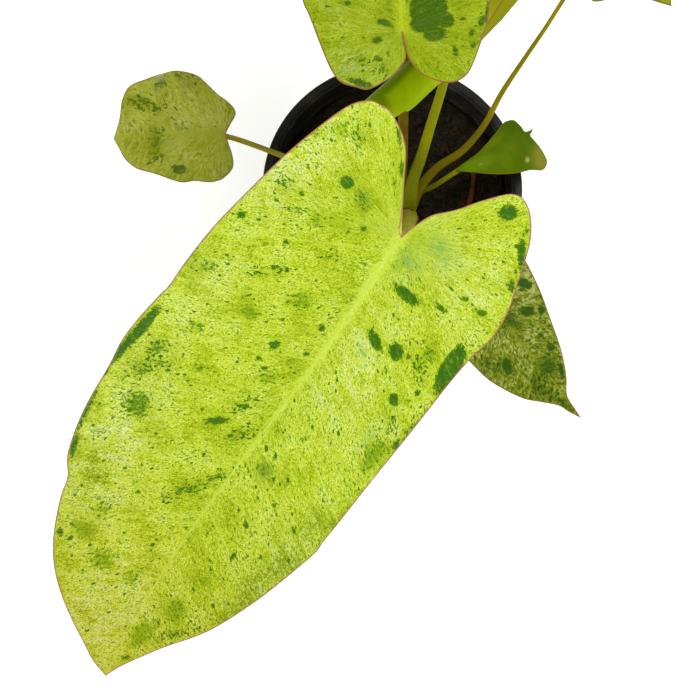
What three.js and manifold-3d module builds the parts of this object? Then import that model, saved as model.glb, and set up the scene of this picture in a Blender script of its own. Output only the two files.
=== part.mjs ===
// Potted philodendron with seven leaves in a round nursery pot.
// Millimetres, +Z up, origin at the middle of the pot's base on the surface that it stands on.
// +X is the photograph's right and +Y points away from the viewer.

import * as THREE from 'three';
import { mergeVertices } from 'three/addons/utils/BufferGeometryUtils.js';
import Module from 'manifold-3d';

const wasm = await Module();
wasm.setup();

// Driving dimensions of the pot and its soil
const POT_RIM_RADIUS = 60;
const POT_HEIGHT = 94;
const POT_BASE_RADIUS = 43;
const POT_WALL = 1.4;
const LIP_WIDTH = 3.8;
const LIP_DROP = 2.2;
const COLLAR_HEIGHT = 14;
const COLLAR_STEP = 1.6;
const DRAIN_HOLES = 8;
const DRAIN_RADIUS = 4;
const POT_SIDES = 64;
const SOIL_LEVEL = 82;
const SOIL_RINGS = 7;
const SOIL_RELIEF = 1.3;

// The gap kept between two pieces that touch
const SEAT_GAP = 0.3;

// The short stem that all the leaves grow from
const STEM_X = 6;
const STEM_Y = -15.2;
const STEM_FOOT = 60;
const STEM_TOP = 107;
const STEM_RADIUS = 5.7;
const STEM_SCARS = 5;
const SCAR_RELIEF = 0.7;

// Blades
const BLADE_THICKNESS = 1;
const RIB_DEPTH = 1.2;
const RIB_WIDTH = 3;
const VEIN_LEAN = 0.55;
const PETIOLE_REACH = 2.5;
const SEAT_PATCH = { length: 9, width: 5, steps: 5, height: 6 };
const RADIAN = Math.PI / 180;

// Each leaf: the place and pose of its blade, both margins from the notch to the tip as x along the
// midrib and y across it, and the petiole's centre line from inside the stem to just below the blade.
const LEAVES = [
  {
    name: 'front_leaf',
    colour: 0xc8dc46,
    at: [1, -48.8, 194],
    length: 225,
    heading: 235.8,
    bend: 4,
    sway: -7,
    pitch: 9,
    droop: 22,
    lobeDrop: 4,
    roll: -6,
    fold: [10, 3],
    curl: { left: [-3, -3], right: [-3, -3] },
    ripple: 1.1,
    rippleLength: 46,
    rows: 44,
    columns: 5,
    left: [
      [1.4, 0], [-2.4, 1.2], [-11.3, 4.8], [-18.7, 11.7], [-25.6, 16.9], [-32.4, 22.5], [-36, 26.6],
      [-36.6, 31], [-32.8, 36.8], [-23.4, 42.8], [-5.4, 48.3], [4.5, 50.6], [15.5, 50.7], [26, 48.4],
      [44.5, 46.6], [79, 45.3], [113, 45.1], [125, 44.8], [155.8, 37.7], [179.5, 28.8], [199.3, 15.3],
      [216.4, 4.3], [225, 0],
    ],
    right: [
      [1.4, 0], [0, -2], [-5.2, -4.4], [-17.2, -11.3], [-28.6, -18.8], [-35, -29], [-35.6, -35],
      [-34, -40.2], [-27.5, -45.6], [-11, -51.4], [11.7, -57.5], [34.3, -61.9], [58, -64.2], [71, -64.3],
      [77, -65.2], [99, -67], [113, -65.4], [131, -63.2], [149.8, -58.9], [157.9, -53.6], [166, -51.5],
      [181.3, -45.3], [191.9, -39.1], [200.2, -31.9], [207.5, -23.7], [215.1, -14.3], [221.2, -7.2],
      [225, 0],
    ],
    petiole: [[6.8, -14.8, 96], [7.2, -17.8, 106], [6, -26.8, 130], [3.4, -39.7, 164], [1.2, -48, 187]],
    radii: [3.8, 2.6],
  },
  {
    name: 'back_leaf',
    colour: 0xa5c328,
    at: [0.8, 31.2, 200],
    length: 180,
    heading: 92,
    bend: 2,
    sway: 0,
    pitch: 16,
    droop: 24,
    lobeDrop: 0,
    roll: 0,
    fold: [8, 3],
    curl: { left: [-3, -3], right: [-3, -3] },
    ripple: 1,
    rippleLength: 40,
    rows: 30,
    columns: 5,
    left: [
      [-0.6, 0], [-6.2, -0.25], [-12, -1], [-17.7, 1.9], [-22.5, 5.8], [-28.3, 14], [-27.5, 19],
      [-25.6, 24.3], [-21.3, 27.4], [-13.7, 30.2], [7.9, 36.5], [15.3, 38.7], [42, 43], [72, 44],
      [102, 40.5], [132, 32], [156, 20], [172, 8], [180, 0],
    ],
    right: [
      [-0.6, 0], [-6.2, -0.65], [-12, -1.6], [-15.5, -3], [-21.2, -6.8], [-25.1, -12.6], [-26.3, -17.1],
      [-25, -21.5], [-20.2, -25.6], [-5.7, -31.3], [3, -34], [14, -35.6], [42, -40.5], [72, -42],
      [102, -38.5], [132, -30.5], [156, -19], [172, -7.5], [180, 0],
    ],
    petiole: [
      [6.8, -14.8, 92], [3.3, -7.3, 103], [3.4, 6.3, 125], [3.3, 22.7, 148.5], [3, 34.2, 162],
      [2.8, 36.8, 180],
    ],
    radii: [3.4, 1.9],
  },
  {
    name: 'new_leaf',
    colour: 0x8cbe14,
    at: [19.8, 33.7, 165],
    length: 165,
    heading: 46,
    bend: 15.6,
    sway: 0,
    pitch: 0,
    droop: -22,
    lobeDrop: 0,
    roll: 0,
    fold: [0, 0],
    curl: { left: [79, 71], right: [92, 82] },
    ripple: 0,
    rippleLength: 40,
    rows: 26,
    columns: 10,
    left: [
      [-1, 0], [-8, 1.2], [-20, 4], [-34, 9], [-42, 16], [-43.5, 23], [-40, 29], [-30, 32.5], [-12, 33.5],
      [8, 32.5], [26, 29], [50, 26.5], [80, 25.5], [110, 22.5], [140, 14.5], [158, 5], [165, 0],
    ],
    right: [
      [-1, 0], [-8, -1.2], [-18, -4], [-27, -9], [-31, -15], [-28, -22], [-18, -26], [0, -26.5], [24, -26],
      [50, -26], [80, -25.5], [110, -22], [140, -12.5], [158, -4], [165, 0],
    ],
    petiole: [
      [6.8, -14.8, 99], [7.6, -8.8, 107], [8.5, -2.7, 112.5],
      [11.5, 4.3, 120], [15.6, 15.7, 134], [20, 27.9, 152],
    ],
    radii: [3.6, 2.4],
  },
  {
    name: 'left_leaf',
    colour: 0x96a53c,
    at: [-76, 17.7, 116],
    length: 53,
    heading: 178,
    bend: 0,
    sway: 0,
    pitch: 6,
    droop: 14,
    lobeDrop: 4,
    roll: 0,
    fold: [4, 3],
    curl: { left: [-5, -5], right: [-5, -5] },
    ripple: 0.8,
    rippleLength: 26,
    rows: 20,
    columns: 4,
    left: [
      [-0.8, 0], [-2.2, 4.2], [-4.2, 9.5], [-4.8, 15.2], [-1.6, 19.8], [1.8, 22.3], [6, 23.2], [13, 21.9],
      [20, 21.6], [31.1, 18.3], [39.9, 15.3], [46, 10.8], [49.7, 5.2], [53, 0],
    ],
    right: [
      [-0.8, 0], [-1.2, -2.6], [-3.9, -6.6], [-5, -9.6], [-3.5, -12.5], [-0.2, -15.5], [3.8, -18.6],
      [10.7, -25.7], [15.3, -29.2], [22, -29.4], [28, -29.2], [36, -31], [42.1, -27.5], [46.5, -23.4],
      [49.2, -17.1], [50.3, -9.1], [53, 0],
    ],
    petiole: [
      [6.8, -14.8, 86], [-6, -6.8, 98], [-28.7, 3.2, 101], [-50.1, 10.9, 105], [-62.1, 14.4, 109],
      [-71, 16.5, 112.6],
    ],
    radii: [2.6, 1.2],
  },
  {
    name: 'right_leaf',
    colour: 0x829632,
    at: [25, -42.8, 122],
    length: 97,
    heading: -46.2,
    bend: 0,
    sway: 0,
    pitch: 14,
    droop: 20,
    lobeDrop: 0,
    roll: 0,
    fold: [6, 4],
    curl: { left: [-5, -5], right: [-5, -5] },
    ripple: 0.8,
    rippleLength: 30,
    rows: 22,
    columns: 4,
    left: [
      [-1, 0], [-6, 3], [-10, 10], [-9, 18], [-1, 24.5], [10, 26.6], [22.9, 25.2], [46.6, 17.9], [62, 12.5],
      [74.8, 6.5], [82.4, 1.3], [89.7, 0.4], [97, 0],
    ],
    right: [
      [-1, 0], [-6, -3], [-11, -9], [-11, -17], [-3, -23.5], [12, -26], [37, -23.5], [51.3, -22],
      [66.9, -16.2], [75.6, -10.3], [83.3, -5], [90.3, -2.7], [97, 0],
    ],
    petiole: [[6.8, -14.8, 84], [10.5, -19.8, 95], [17, -28.8, 105], [23, -38.3, 114]],
    radii: [2.6, 1.4],
  },
  {
    name: 'young_leaf',
    colour: 0x6e9628,
    at: [29.3, 3.7, 108],
    length: 40.3,
    heading: 30,
    bend: 0,
    sway: 0,
    pitch: 0,
    droop: 8,
    lobeDrop: 0,
    roll: 0,
    fold: [0, 0],
    curl: { left: [-20, -20], right: [-20, -20] },
    ripple: 0,
    rippleLength: 20,
    rows: 18,
    columns: 5,
    left: [
      [-1, 0], [1.5, 0.95], [7, 1.6], [13.1, 2.6], [22.9, 6.2], [29.7, 9.2], [32.5, 9.3], [34.3, 8.6],
      [35.3, 7.1], [35.9, 3.3], [36.2, 0.5], [40.3, 0],
    ],
    right: [
      [-1, 0], [0.3, -1.1], [7, -5.9], [11.7, -8.9], [18, -12.2], [24.3, -14.7], [30, -16.2], [35, -18.8],
      [37.2, -18.7], [38.5, -17.8], [39.5, -15.3], [38.8, -9], [37.3, -2.4], [38.6, -1.2], [40.3, 0],
    ],
    petiole: [[6.8, -14.8, 82], [10, -8.2, 91], [13, -4, 97], [18.8, -2, 101], [25.8, 1.5, 105.6]],
    radii: [2.4, 1.3],
  },
  {
    name: 'far_leaf',
    colour: 0x96a53c,
    at: [80.3, 71.8, 179],
    length: 39.5,
    heading: -25,
    bend: 0,
    sway: 0,
    pitch: 10,
    droop: 14,
    lobeDrop: 0,
    roll: 0,
    fold: [4, 3],
    curl: { left: [-5, -5], right: [-5, -5] },
    ripple: 0.6,
    rippleLength: 22,
    rows: 18,
    columns: 4,
    left: [
      [-0.8, 0], [-4, 3], [-6.6, 8], [-4, 14], [4, 17.6], [12, 17], [20, 14.5], [28, 10.5], [34, 6.6],
      [37.2, 3.6], [38.2, 2], [39.5, 0],
    ],
    right: [
      [-0.8, 0], [-4, -3], [-6.6, -8], [-4, -13.2], [1, -15.2], [5.5, -16], [8.5, -15.9], [12.3, -13.2],
      [17, -8.6], [22, -5], [27.6, -3.4], [30.4, -2.7], [34.1, -1.7], [39.5, 0],
    ],
    petiole: [
      [6.8, -14.8, 91], [9.4, -9, 97.5], [12.1, -3.4, 101.5], [19.8, 4.6, 107], [30.7, 10.4, 114],
      [39.3, 18.4, 123.5], [46.4, 29, 138], [54.9, 39.3, 152], [61.7, 47.2, 163], [74, 63.7, 174.5],
    ],
    radii: [2.9, 0.9],
  },
];

// A root that arches out of the soil beside the stem
const ROOT_PATH = [
  [39, 19.2, 78], [38.7, 13.1, 82.5], [38.2, 6.2, 85], [37.2, -0.8, 85.2], [35, -7.8, 84.4], [32, -14.8, 79],
];
const ROOT_RADIUS = 1.1;

function vector(point) {
  return new THREE.Vector3(point[0], point[1], point[2]);
}

// Indexed, closed geometry with doubled vertices welded and collapsed triangles dropped
function closedGeometry(positions, triangles) {
  const loose = new THREE.BufferGeometry();
  loose.setAttribute('position', new THREE.Float32BufferAttribute(positions, 3));
  loose.setIndex(triangles);
  const welded = mergeVertices(loose, 1e-3);
  const corner = Array.from(welded.index.array);
  const kept = [];
  for (let i = 0; i < corner.length; i += 3) {
    const [a, b, c] = corner.slice(i, i + 3);
    if (a !== b && b !== c && c !== a) kept.push(a, b, c);
  }
  welded.setIndex(kept);
  return welded;
}

function toSolid(geometry) {
  const bare = geometry.clone();
  bare.deleteAttribute('normal');
  bare.deleteAttribute('uv');
  const welded = mergeVertices(bare, 1e-3);
  const vertProperties = new Float32Array(welded.attributes.position.array);
  const triVerts = new Uint32Array(welded.index.array);
  return new wasm.Manifold(new wasm.Mesh({ numProp: 3, vertProperties, triVerts }));
}

// The largest body of a cut solid, so that no loose scrap is left
function toGeometry(solid) {
  const bodies = solid.decompose();
  bodies.sort((a, b) => b.volume() - a.volume());
  const mesh = bodies[0].getMesh();
  const geometry = new THREE.BufferGeometry();
  geometry.setAttribute('position', new THREE.BufferAttribute(new Float32Array(mesh.vertProperties), 3));
  geometry.setIndex(new THREE.BufferAttribute(new Uint32Array(mesh.triVerts), 1));
  geometry.computeVertexNormals();
  return geometry;
}

// Sideways and upward travel along an arc that starts at an angle and turns at a steady rate
function arcTravel(angle, rate, distance) {
  if (Math.abs(rate) < 1e-6) return [distance * Math.cos(angle), distance * Math.sin(angle)];
  const end = angle + rate * distance;
  return [(Math.sin(end) - Math.sin(angle)) / rate, (Math.cos(angle) - Math.cos(end)) / rate];
}

// A blade's middle surface: the midrib bends along its length and each half folds and curls across it
class BladeSurface {
  constructor(leaf) {
    this.leaf = leaf;
    this.behind = 60;
    const steps = this.behind + Math.ceil(leaf.length) + 10;
    this.frames = [];
    let place = new THREE.Vector3();
    for (let i = 0; i <= steps; i += 1) {
      const frame = this.frameAt(i - this.behind);
      if (i > 0) {
        const turn = frame.along.clone().add(this.frames[i - 1].along);
        place = place.clone().addScaledVector(turn, 0.5);
      }
      frame.place = place;
      this.frames.push(frame);
    }
    const shift = vector(leaf.at).sub(this.frames[this.behind].place);
    for (const frame of this.frames) frame.place = frame.place.clone().add(shift);
  }

  frameAt(distance) {
    const leaf = this.leaf;
    const ahead = Math.min(Math.max(distance, 0), leaf.length) / leaf.length;
    const behind = Math.max(-distance, 0) / leaf.length;
    const share = distance / leaf.length;
    const turn = leaf.bend * share + leaf.sway * Math.sin(Math.PI * ahead) ** 2;
    const heading = (leaf.heading + turn) * RADIAN;
    const pitch = (leaf.pitch + leaf.droop * Math.max(share, 0) - leaf.lobeDrop * behind) * RADIAN;
    const roll = leaf.roll * RADIAN;
    const flat = new THREE.Vector3(Math.cos(heading), Math.sin(heading), 0);
    const along = flat.clone().multiplyScalar(Math.cos(pitch)).setZ(-Math.sin(pitch));
    const level = new THREE.Vector3(-Math.sin(heading), Math.cos(heading), 0);
    const upright = new THREE.Vector3().crossVectors(along, level);
    const side = level.multiplyScalar(Math.cos(roll)).addScaledVector(upright, Math.sin(roll));
    return { along, side, up: new THREE.Vector3().crossVectors(along, side) };
  }

  pointAt(x, y) {
    const leaf = this.leaf;
    const station = Math.min(Math.max(x + this.behind, 0), this.frames.length - 1.001);
    const low = this.frames[Math.floor(station)];
    const high = this.frames[Math.floor(station) + 1];
    const part = station - Math.floor(station);
    const place = low.place.clone().lerp(high.place, part);
    const side = low.side.clone().lerp(high.side, part);
    const up = low.up.clone().lerp(high.up, part);

    const share = Math.min(Math.max(x / leaf.length, 0), 1);
    const [curlBase, curlTip] = y > 0 ? leaf.curl.left : leaf.curl.right;
    const curl = (curlBase + (curlTip - curlBase) * share) * RADIAN / 10;
    const fold = (leaf.fold[0] + (leaf.fold[1] - leaf.fold[0]) * share) * RADIAN;
    const foldWidth = leaf.fold[0] === 0 ? 0.5 : 6;
    const across = Math.abs(y);
    const near = arcTravel(0, fold / foldWidth, Math.min(across, foldWidth));
    const far = arcTravel(fold, curl, Math.max(across - foldWidth, 0));
    const wave = leaf.ripple * Math.sin(2 * Math.PI * x / leaf.rippleLength + (y > 0 ? 0 : 2));
    const lift = near[1] + far[1] + wave * (across / (leaf.length * 0.25)) ** 2;
    return place.addScaledVector(side, Math.sign(y) * (near[0] + far[0])).addScaledVector(up, lift);
  }

  normalAt(x, y) {
    const step = 0.4;
    const along = this.pointAt(x + step, y).sub(this.pointAt(x - step, y));
    const across = this.pointAt(x, y + step).sub(this.pointAt(x, y - step));
    return along.cross(across).normalize();
  }
}

// Evenly spaced points of a margin, from the notch to the tip
function marginPoints(leaf, margin) {
  const outline = new THREE.SplineCurve(margin.map(([x, y]) => new THREE.Vector2(x, y)));
  const edge = outline.getSpacedPoints(leaf.rows);
  edge[0].set(margin[0][0], 0);
  edge[leaf.rows].set(leaf.length, 0);
  return edge;
}

// Rows run from the midrib to the margin as the side veins do, fanned from the petiole in the lobes.
// Both halves share the stations along the midrib, and top and bottom are split into the same triangles.
function bladeGeometry(leaf, surface, thickness) {
  const positions = [];
  const triangles = [];
  const tip = leaf.length;
  const notch = Math.max(leaf.left[0][0], 0);
  const margins = [marginPoints(leaf, leaf.left), marginPoints(leaf, leaf.right)];
  const stations = margins[0].map((point, i) => {
    const other = margins[1][i];
    const lean = VEIN_LEAN * (Math.abs(point.y) + Math.abs(other.y));
    return Math.min(Math.max((point.x + other.x - lean) / 2, notch), tip);
  });
  for (const edge of margins) {
    const first = positions.length / 3;
    for (const [i, point] of edge.entries()) {
      for (let j = 0; j <= leaf.columns; j += 1) {
        const reach = (j / leaf.columns) ** 1.25;
        const x = stations[i] + (point.x - stations[i]) * reach;
        const y = point.y * reach;
        const middle = surface.pointAt(x, y);
        const normal = surface.normalAt(x, y);
        const rib = RIB_DEPTH * Math.exp(-((y / RIB_WIDTH) ** 2)) * (1 - Math.max(x, 0) / tip);
        const top = middle.clone().addScaledVector(normal, thickness / 2);
        const bottom = middle.clone().addScaledVector(normal, -thickness / 2 - rib);
        positions.push(top.x, top.y, top.z, bottom.x, bottom.y, bottom.z);
      }
    }
    const flip = edge === margins[1];
    const face = (a, b, c) => triangles.push(...(flip ? [a, c, b] : [a, b, c]));
    const vertex = (i, j, under) => first + 2 * (i * (leaf.columns + 1) + j) + under;
    for (let i = 0; i < leaf.rows; i += 1) {
      for (let j = 0; j < leaf.columns; j += 1) {
        face(vertex(i, j, 0), vertex(i + 1, j, 0), vertex(i + 1, j + 1, 0));
        face(vertex(i, j, 0), vertex(i + 1, j + 1, 0), vertex(i, j + 1, 0));
        face(vertex(i, j, 1), vertex(i + 1, j + 1, 1), vertex(i + 1, j, 1));
        face(vertex(i, j, 1), vertex(i, j + 1, 1), vertex(i + 1, j + 1, 1));
      }
      const last = leaf.columns;
      face(vertex(i, last, 0), vertex(i + 1, last, 0), vertex(i + 1, last, 1));
      face(vertex(i, last, 0), vertex(i + 1, last, 1), vertex(i, last, 1));
    }
  }
  return closedGeometry(positions, triangles);
}

// A tube of changing radius along a curve, closed by a fan at each end
function stalkGeometry(path, radiusAt, segments, sides) {
  const curve = new THREE.CatmullRomCurve3(path.map(vector));
  const frames = curve.computeFrenetFrames(segments);
  const positions = [];
  const triangles = [];
  for (let i = 0; i <= segments; i += 1) {
    const centre = curve.getPointAt(i / segments);
    const radius = radiusAt(i / segments);
    for (let j = 0; j < sides; j += 1) {
      const angle = 2 * Math.PI * j / sides;
      const point = centre.clone();
      point.addScaledVector(frames.normals[i], radius * Math.cos(angle));
      point.addScaledVector(frames.binormals[i], radius * Math.sin(angle));
      positions.push(point.x, point.y, point.z);
    }
  }
  for (let i = 0; i < segments; i += 1) {
    for (let j = 0; j < sides; j += 1) {
      const a = i * sides + j;
      const b = i * sides + (j + 1) % sides;
      triangles.push(a, b, b + sides, a, b + sides, a + sides);
    }
  }
  const start = positions.length / 3;
  const end = start + 1;
  positions.push(...curve.getPointAt(0).toArray(), ...curve.getPointAt(1).toArray());
  for (let j = 0; j < sides; j += 1) {
    const next = (j + 1) % sides;
    triangles.push(start, next, j);
    triangles.push(end, segments * sides + j, segments * sides + next);
  }
  return closedGeometry(positions, triangles);
}

// A petiole is thick at its sheathed base, slims on its way up and ends under the midrib
function petioleGeometry(leaf, surface, extra) {
  const [base, top] = leaf.radii;
  const radiusAt = (share) => top + (base - top) * (1 - share) ** 2.5 + extra;
  const path = [...leaf.petiole, surface.pointAt(PETIOLE_REACH, 0).toArray()];
  return stalkGeometry(path, radiusAt, 18, 8);
}

// A slab from just below the blade upwards, over its notch too, that trims the top of the petiole
function seatGeometry(leaf, surface) {
  const { length, width, steps, height } = SEAT_PATCH;
  const positions = [];
  const triangles = [];
  const count = steps + 1;
  for (let i = 0; i < count; i += 1) {
    for (let j = 0; j < count; j += 1) {
      const x = length * (2 * i / steps - 1);
      const y = width * (2 * j / steps - 1);
      const middle = surface.pointAt(x, y);
      const normal = surface.normalAt(x, y);
      const low = middle.clone().addScaledVector(normal, -BLADE_THICKNESS / 2 - RIB_DEPTH - SEAT_GAP);
      const high = middle.clone().addScaledVector(normal, height);
      positions.push(low.x, low.y, low.z, high.x, high.y, high.z);
    }
  }
  const vertex = (i, j, level) => 2 * (i * count + j) + level;
  const quad = (a, b, c, d) => triangles.push(a, b, c, a, c, d);
  for (let i = 0; i < steps; i += 1) {
    for (let j = 0; j < steps; j += 1) {
      quad(vertex(i, j, 1), vertex(i + 1, j, 1), vertex(i + 1, j + 1, 1), vertex(i, j + 1, 1));
      quad(vertex(i, j, 0), vertex(i, j + 1, 0), vertex(i + 1, j + 1, 0), vertex(i + 1, j, 0));
    }
    quad(vertex(i, 0, 0), vertex(i + 1, 0, 0), vertex(i + 1, 0, 1), vertex(i, 0, 1));
    quad(vertex(i + 1, steps, 0), vertex(i, steps, 0), vertex(i, steps, 1), vertex(i + 1, steps, 1));
    quad(vertex(0, i + 1, 0), vertex(0, i, 0), vertex(0, i, 1), vertex(0, i + 1, 1));
    quad(vertex(steps, i, 0), vertex(steps, i + 1, 0), vertex(steps, i + 1, 1), vertex(steps, i, 1));
  }
  return closedGeometry(positions, triangles);
}

// The stem: a tapered, scarred stub with a rounded top
function stemGeometry(extra) {
  const profile = [[0, STEM_FOOT - extra]];
  const steps = STEM_SCARS * 4;
  for (let i = 0; i <= steps; i += 1) {
    const share = i / steps;
    const scar = SCAR_RELIEF * Math.cos(2 * Math.PI * share * STEM_SCARS);
    const taper = STEM_RADIUS * Math.sqrt(1 - 0.75 * share ** 4);
    profile.push([taper + scar + extra, STEM_FOOT + (STEM_TOP - 2 - STEM_FOOT) * share - (i ? 0 : extra)]);
  }
  profile.push([0, STEM_TOP + extra]);
  const geometry = latheSolid(profile, 20);
  geometry.translate(STEM_X, STEM_Y, 0);
  return geometry;
}

// A closed profile of [radius, height] turned round the Z axis
function latheSolid(profile, sides) {
  const geometry = new THREE.LatheGeometry(profile.map(([r, z]) => new THREE.Vector2(r, z)), sides);
  geometry.rotateX(Math.PI / 2);
  const bare = geometry.clone();
  bare.deleteAttribute('normal');
  bare.deleteAttribute('uv');
  return closedGeometry(Array.from(bare.attributes.position.array), Array.from(bare.index.array));
}

function innerRadiusAt(height) {
  const shoulder = POT_HEIGHT - COLLAR_HEIGHT;
  const wall = POT_RIM_RADIUS - LIP_WIDTH - COLLAR_STEP;
  return POT_BASE_RADIUS - POT_WALL + (wall - POT_BASE_RADIUS) * height / shoulder;
}

// The pot: a tapered body, a stepped collar, a flat lip turned down at its edge, and drain holes
function potGeometry() {
  const shoulder = POT_HEIGHT - COLLAR_HEIGHT;
  const collar = POT_RIM_RADIUS - LIP_WIDTH;
  const profile = [
    [0, 0],
    [POT_BASE_RADIUS - 1.5, 0],
    [POT_BASE_RADIUS, 1.5],
    [innerRadiusAt(shoulder) + POT_WALL, shoulder],
    [collar, shoulder + COLLAR_STEP],
    [collar, POT_HEIGHT - LIP_DROP],
    [POT_RIM_RADIUS - 0.6, POT_HEIGHT - LIP_DROP - 0.4],
    [POT_RIM_RADIUS, POT_HEIGHT - LIP_DROP + 0.4],
    [POT_RIM_RADIUS, POT_HEIGHT - 0.6],
    [POT_RIM_RADIUS - 0.6, POT_HEIGHT],
    [collar - POT_WALL, POT_HEIGHT],
    [collar - POT_WALL, shoulder + COLLAR_STEP],
    [innerRadiusAt(shoulder), shoulder],
    [innerRadiusAt(POT_WALL), POT_WALL],
    [0, POT_WALL],
  ];
  let pot = toSolid(latheSolid(profile, POT_SIDES));
  for (let i = 0; i < DRAIN_HOLES; i += 1) {
    const drill = new THREE.CylinderGeometry(DRAIN_RADIUS, DRAIN_RADIUS, 12, 12);
    drill.rotateZ(Math.PI / 2);
    drill.translate(POT_BASE_RADIUS - 2, 0, DRAIN_RADIUS + 1.2);
    drill.rotateZ(2 * Math.PI * (i + 0.5) / DRAIN_HOLES);
    pot = pot.subtract(toSolid(drill));
  }
  return toGeometry(pot);
}

// Height of the soil's lumps and the low mound round the stem
function soilRelief(x, y) {
  const lumps = Math.sin(0.31 * x + 1.1) * Math.cos(0.27 * y - 0.4) + 0.5 * Math.sin(0.55 * x - 0.49 * y);
  const mound = 3 * Math.exp(-(((x - STEM_X) ** 2 + (y - STEM_Y) ** 2) / 500));
  return SOIL_RELIEF * lumps + mound;
}

function soilGeometry() {
  const floor = POT_WALL + SEAT_GAP;
  const shoulder = POT_HEIGHT - COLLAR_HEIGHT;
  const rimRadius = innerRadiusAt(shoulder) - SEAT_GAP;
  const profile = [[0, floor], [innerRadiusAt(floor) - SEAT_GAP, floor], [rimRadius, shoulder]];
  for (let ring = SOIL_RINGS; ring >= 0; ring -= 1) {
    profile.push([(rimRadius - 0.5) * ring / SOIL_RINGS, SOIL_LEVEL]);
  }
  const geometry = latheSolid(profile, 36);
  const position = geometry.attributes.position;
  for (let i = 0; i < position.count; i += 1) {
    if (position.getZ(i) < SOIL_LEVEL - 0.1) continue;
    const x = position.getX(i);
    const y = position.getY(i);
    const edge = 1 - (Math.hypot(x, y) / rimRadius) ** 8;
    position.setZ(i, SOIL_LEVEL + soilRelief(x, y) * Math.max(edge, 0));
  }
  return geometry;
}

function rootGeometry(extra) {
  return stalkGeometry(ROOT_PATH, () => ROOT_RADIUS + extra, 16, 7);
}

const plant = new THREE.Group();
plant.name = 'potted_philodendron';

function addPiece(name, geometry, colour, roughness) {
  const material = new THREE.MeshStandardMaterial({ color: colour, roughness, metalness: 0 });
  geometry.computeVertexNormals();
  const mesh = new THREE.Mesh(geometry, material);
  mesh.name = name;
  plant.add(mesh);
}

addPiece('pot', potGeometry(), 0x1c1c1e, 0.5);

const stemHole = toSolid(stemGeometry(SEAT_GAP));
const rootHole = toSolid(rootGeometry(SEAT_GAP));
addPiece('soil', toGeometry(toSolid(soilGeometry()).subtract(stemHole).subtract(rootHole)), 0x1a1410, 0.95);
addPiece('stem', stemGeometry(0), 0x8c823c, 0.6);
addPiece('surface_root', rootGeometry(0), 0x783c1e, 0.7);

// Each petiole is trimmed back from the stem, from under its own blade and from the petioles before it
const trimmed = [stemHole];
for (const leaf of LEAVES) {
  const surface = new BladeSurface(leaf);
  let petiole = toSolid(petioleGeometry(leaf, surface, 0)).subtract(toSolid(seatGeometry(leaf, surface)));
  for (const neighbour of trimmed) petiole = petiole.subtract(neighbour);
  addPiece(`${leaf.name}_petiole`, toGeometry(petiole), 0x7d9114, 0.5);
  addPiece(`${leaf.name}_blade`, bladeGeometry(leaf, surface, BLADE_THICKNESS), leaf.colour, 0.4);
  trimmed.push(toSolid(petioleGeometry(leaf, surface, SEAT_GAP)));
}

export default plant;
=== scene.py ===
import math

import bmesh
import bpy
import numpy as np
from mathutils import Matrix, Vector


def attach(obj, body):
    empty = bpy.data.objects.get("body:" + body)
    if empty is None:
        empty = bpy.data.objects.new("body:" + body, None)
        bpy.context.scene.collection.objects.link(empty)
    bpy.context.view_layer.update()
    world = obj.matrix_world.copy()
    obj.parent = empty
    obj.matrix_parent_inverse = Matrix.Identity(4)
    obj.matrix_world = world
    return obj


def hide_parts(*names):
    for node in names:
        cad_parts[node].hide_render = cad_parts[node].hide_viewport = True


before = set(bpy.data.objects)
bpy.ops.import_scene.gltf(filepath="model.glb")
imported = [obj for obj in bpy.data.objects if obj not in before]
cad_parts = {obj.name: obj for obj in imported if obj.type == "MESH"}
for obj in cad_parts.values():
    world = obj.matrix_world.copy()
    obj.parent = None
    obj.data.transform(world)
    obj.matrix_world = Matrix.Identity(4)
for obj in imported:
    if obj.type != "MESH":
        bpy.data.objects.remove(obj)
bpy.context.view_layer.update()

# A potted philodendron seen from above. Sizes are in millimetres and become metres in the meshes.
MM = 0.001
RADIAN = math.pi / 180
TURN = 2 * math.pi

# The camera was fitted to the pot's rim
CAMERA_PLACE = (-19.585, -187.87, 724.28)
CAMERA_TILT = 10
CAMERA_LENS = 72.857
CAMERA_SENSOR = 36

# Lamps that all point at one spot: place in metres, size and power
LAMP_TARGET = (0, -0.05, 0.15)
LAMPS = {
    "key": ((0.55, 0.45, 1.25), 0.8, 17),
    "left_fill": ((-0.95, -0.2, 0.9), 1, 9),
    "front_fill": ((0.25, -1.05, 0.9), 1, 8),
}
ROOM_LIGHT = 0.5
FLOOR_GLOW = 0.16
FLOOR_REACH = 3

# Light on a white diffuse surface that faces up; photographed colours are divided by it
EXPOSURE = 1.55

# What a leaf mirrors of the pale room, taken off its photographed colour
SHEEN = 0.012

# The pot
POT_RIM_RADIUS = 60
POT_HEIGHT = 94
POT_BASE_RADIUS = 43
POT_WALL = 1.4
POT_FLOOR = 2.6
POT_SIDES = 160
POT_ROUNDING = 0.6
FOOT_WIDTH = 7
FOOT_HEIGHT = 1.2
LIP_WIDTH = 3.8
LIP_DROP = 2.2
COLLAR_HEIGHT = 14
COLLAR_STEP = 1.6
COLLAR_RADIUS = POT_RIM_RADIUS - LIP_WIDTH
SHOULDER = POT_HEIGHT - COLLAR_HEIGHT
DRAIN_HOLES = 8
DRAIN_RADIUS = 4
DRAIN_DEPTH = 14
DRAIN_SIDES = 28

# The soil: its lumps' sizes and heights, then its crumbs' count, distance from the wall, sizes and browns
SOIL_LEVEL = 82
SOIL_FLOOR = 3.2
SOIL_RELIEF = 1.3
SOIL_GAP = 0.3
SOIL_RINGS = 56
SOIL_SIDES = 168
SOIL_SEED = 7
SOIL_LUMPS = 260
LUMP_SIZES = (1.2, 3.5)
LUMP_HEIGHTS = (-0.5, 0.9)
CRUMBS = [(1500, 2.5, (0.5, 1.5), None), (150, 4, (1.2, 2.6), (0.1, 0.7))]

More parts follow.
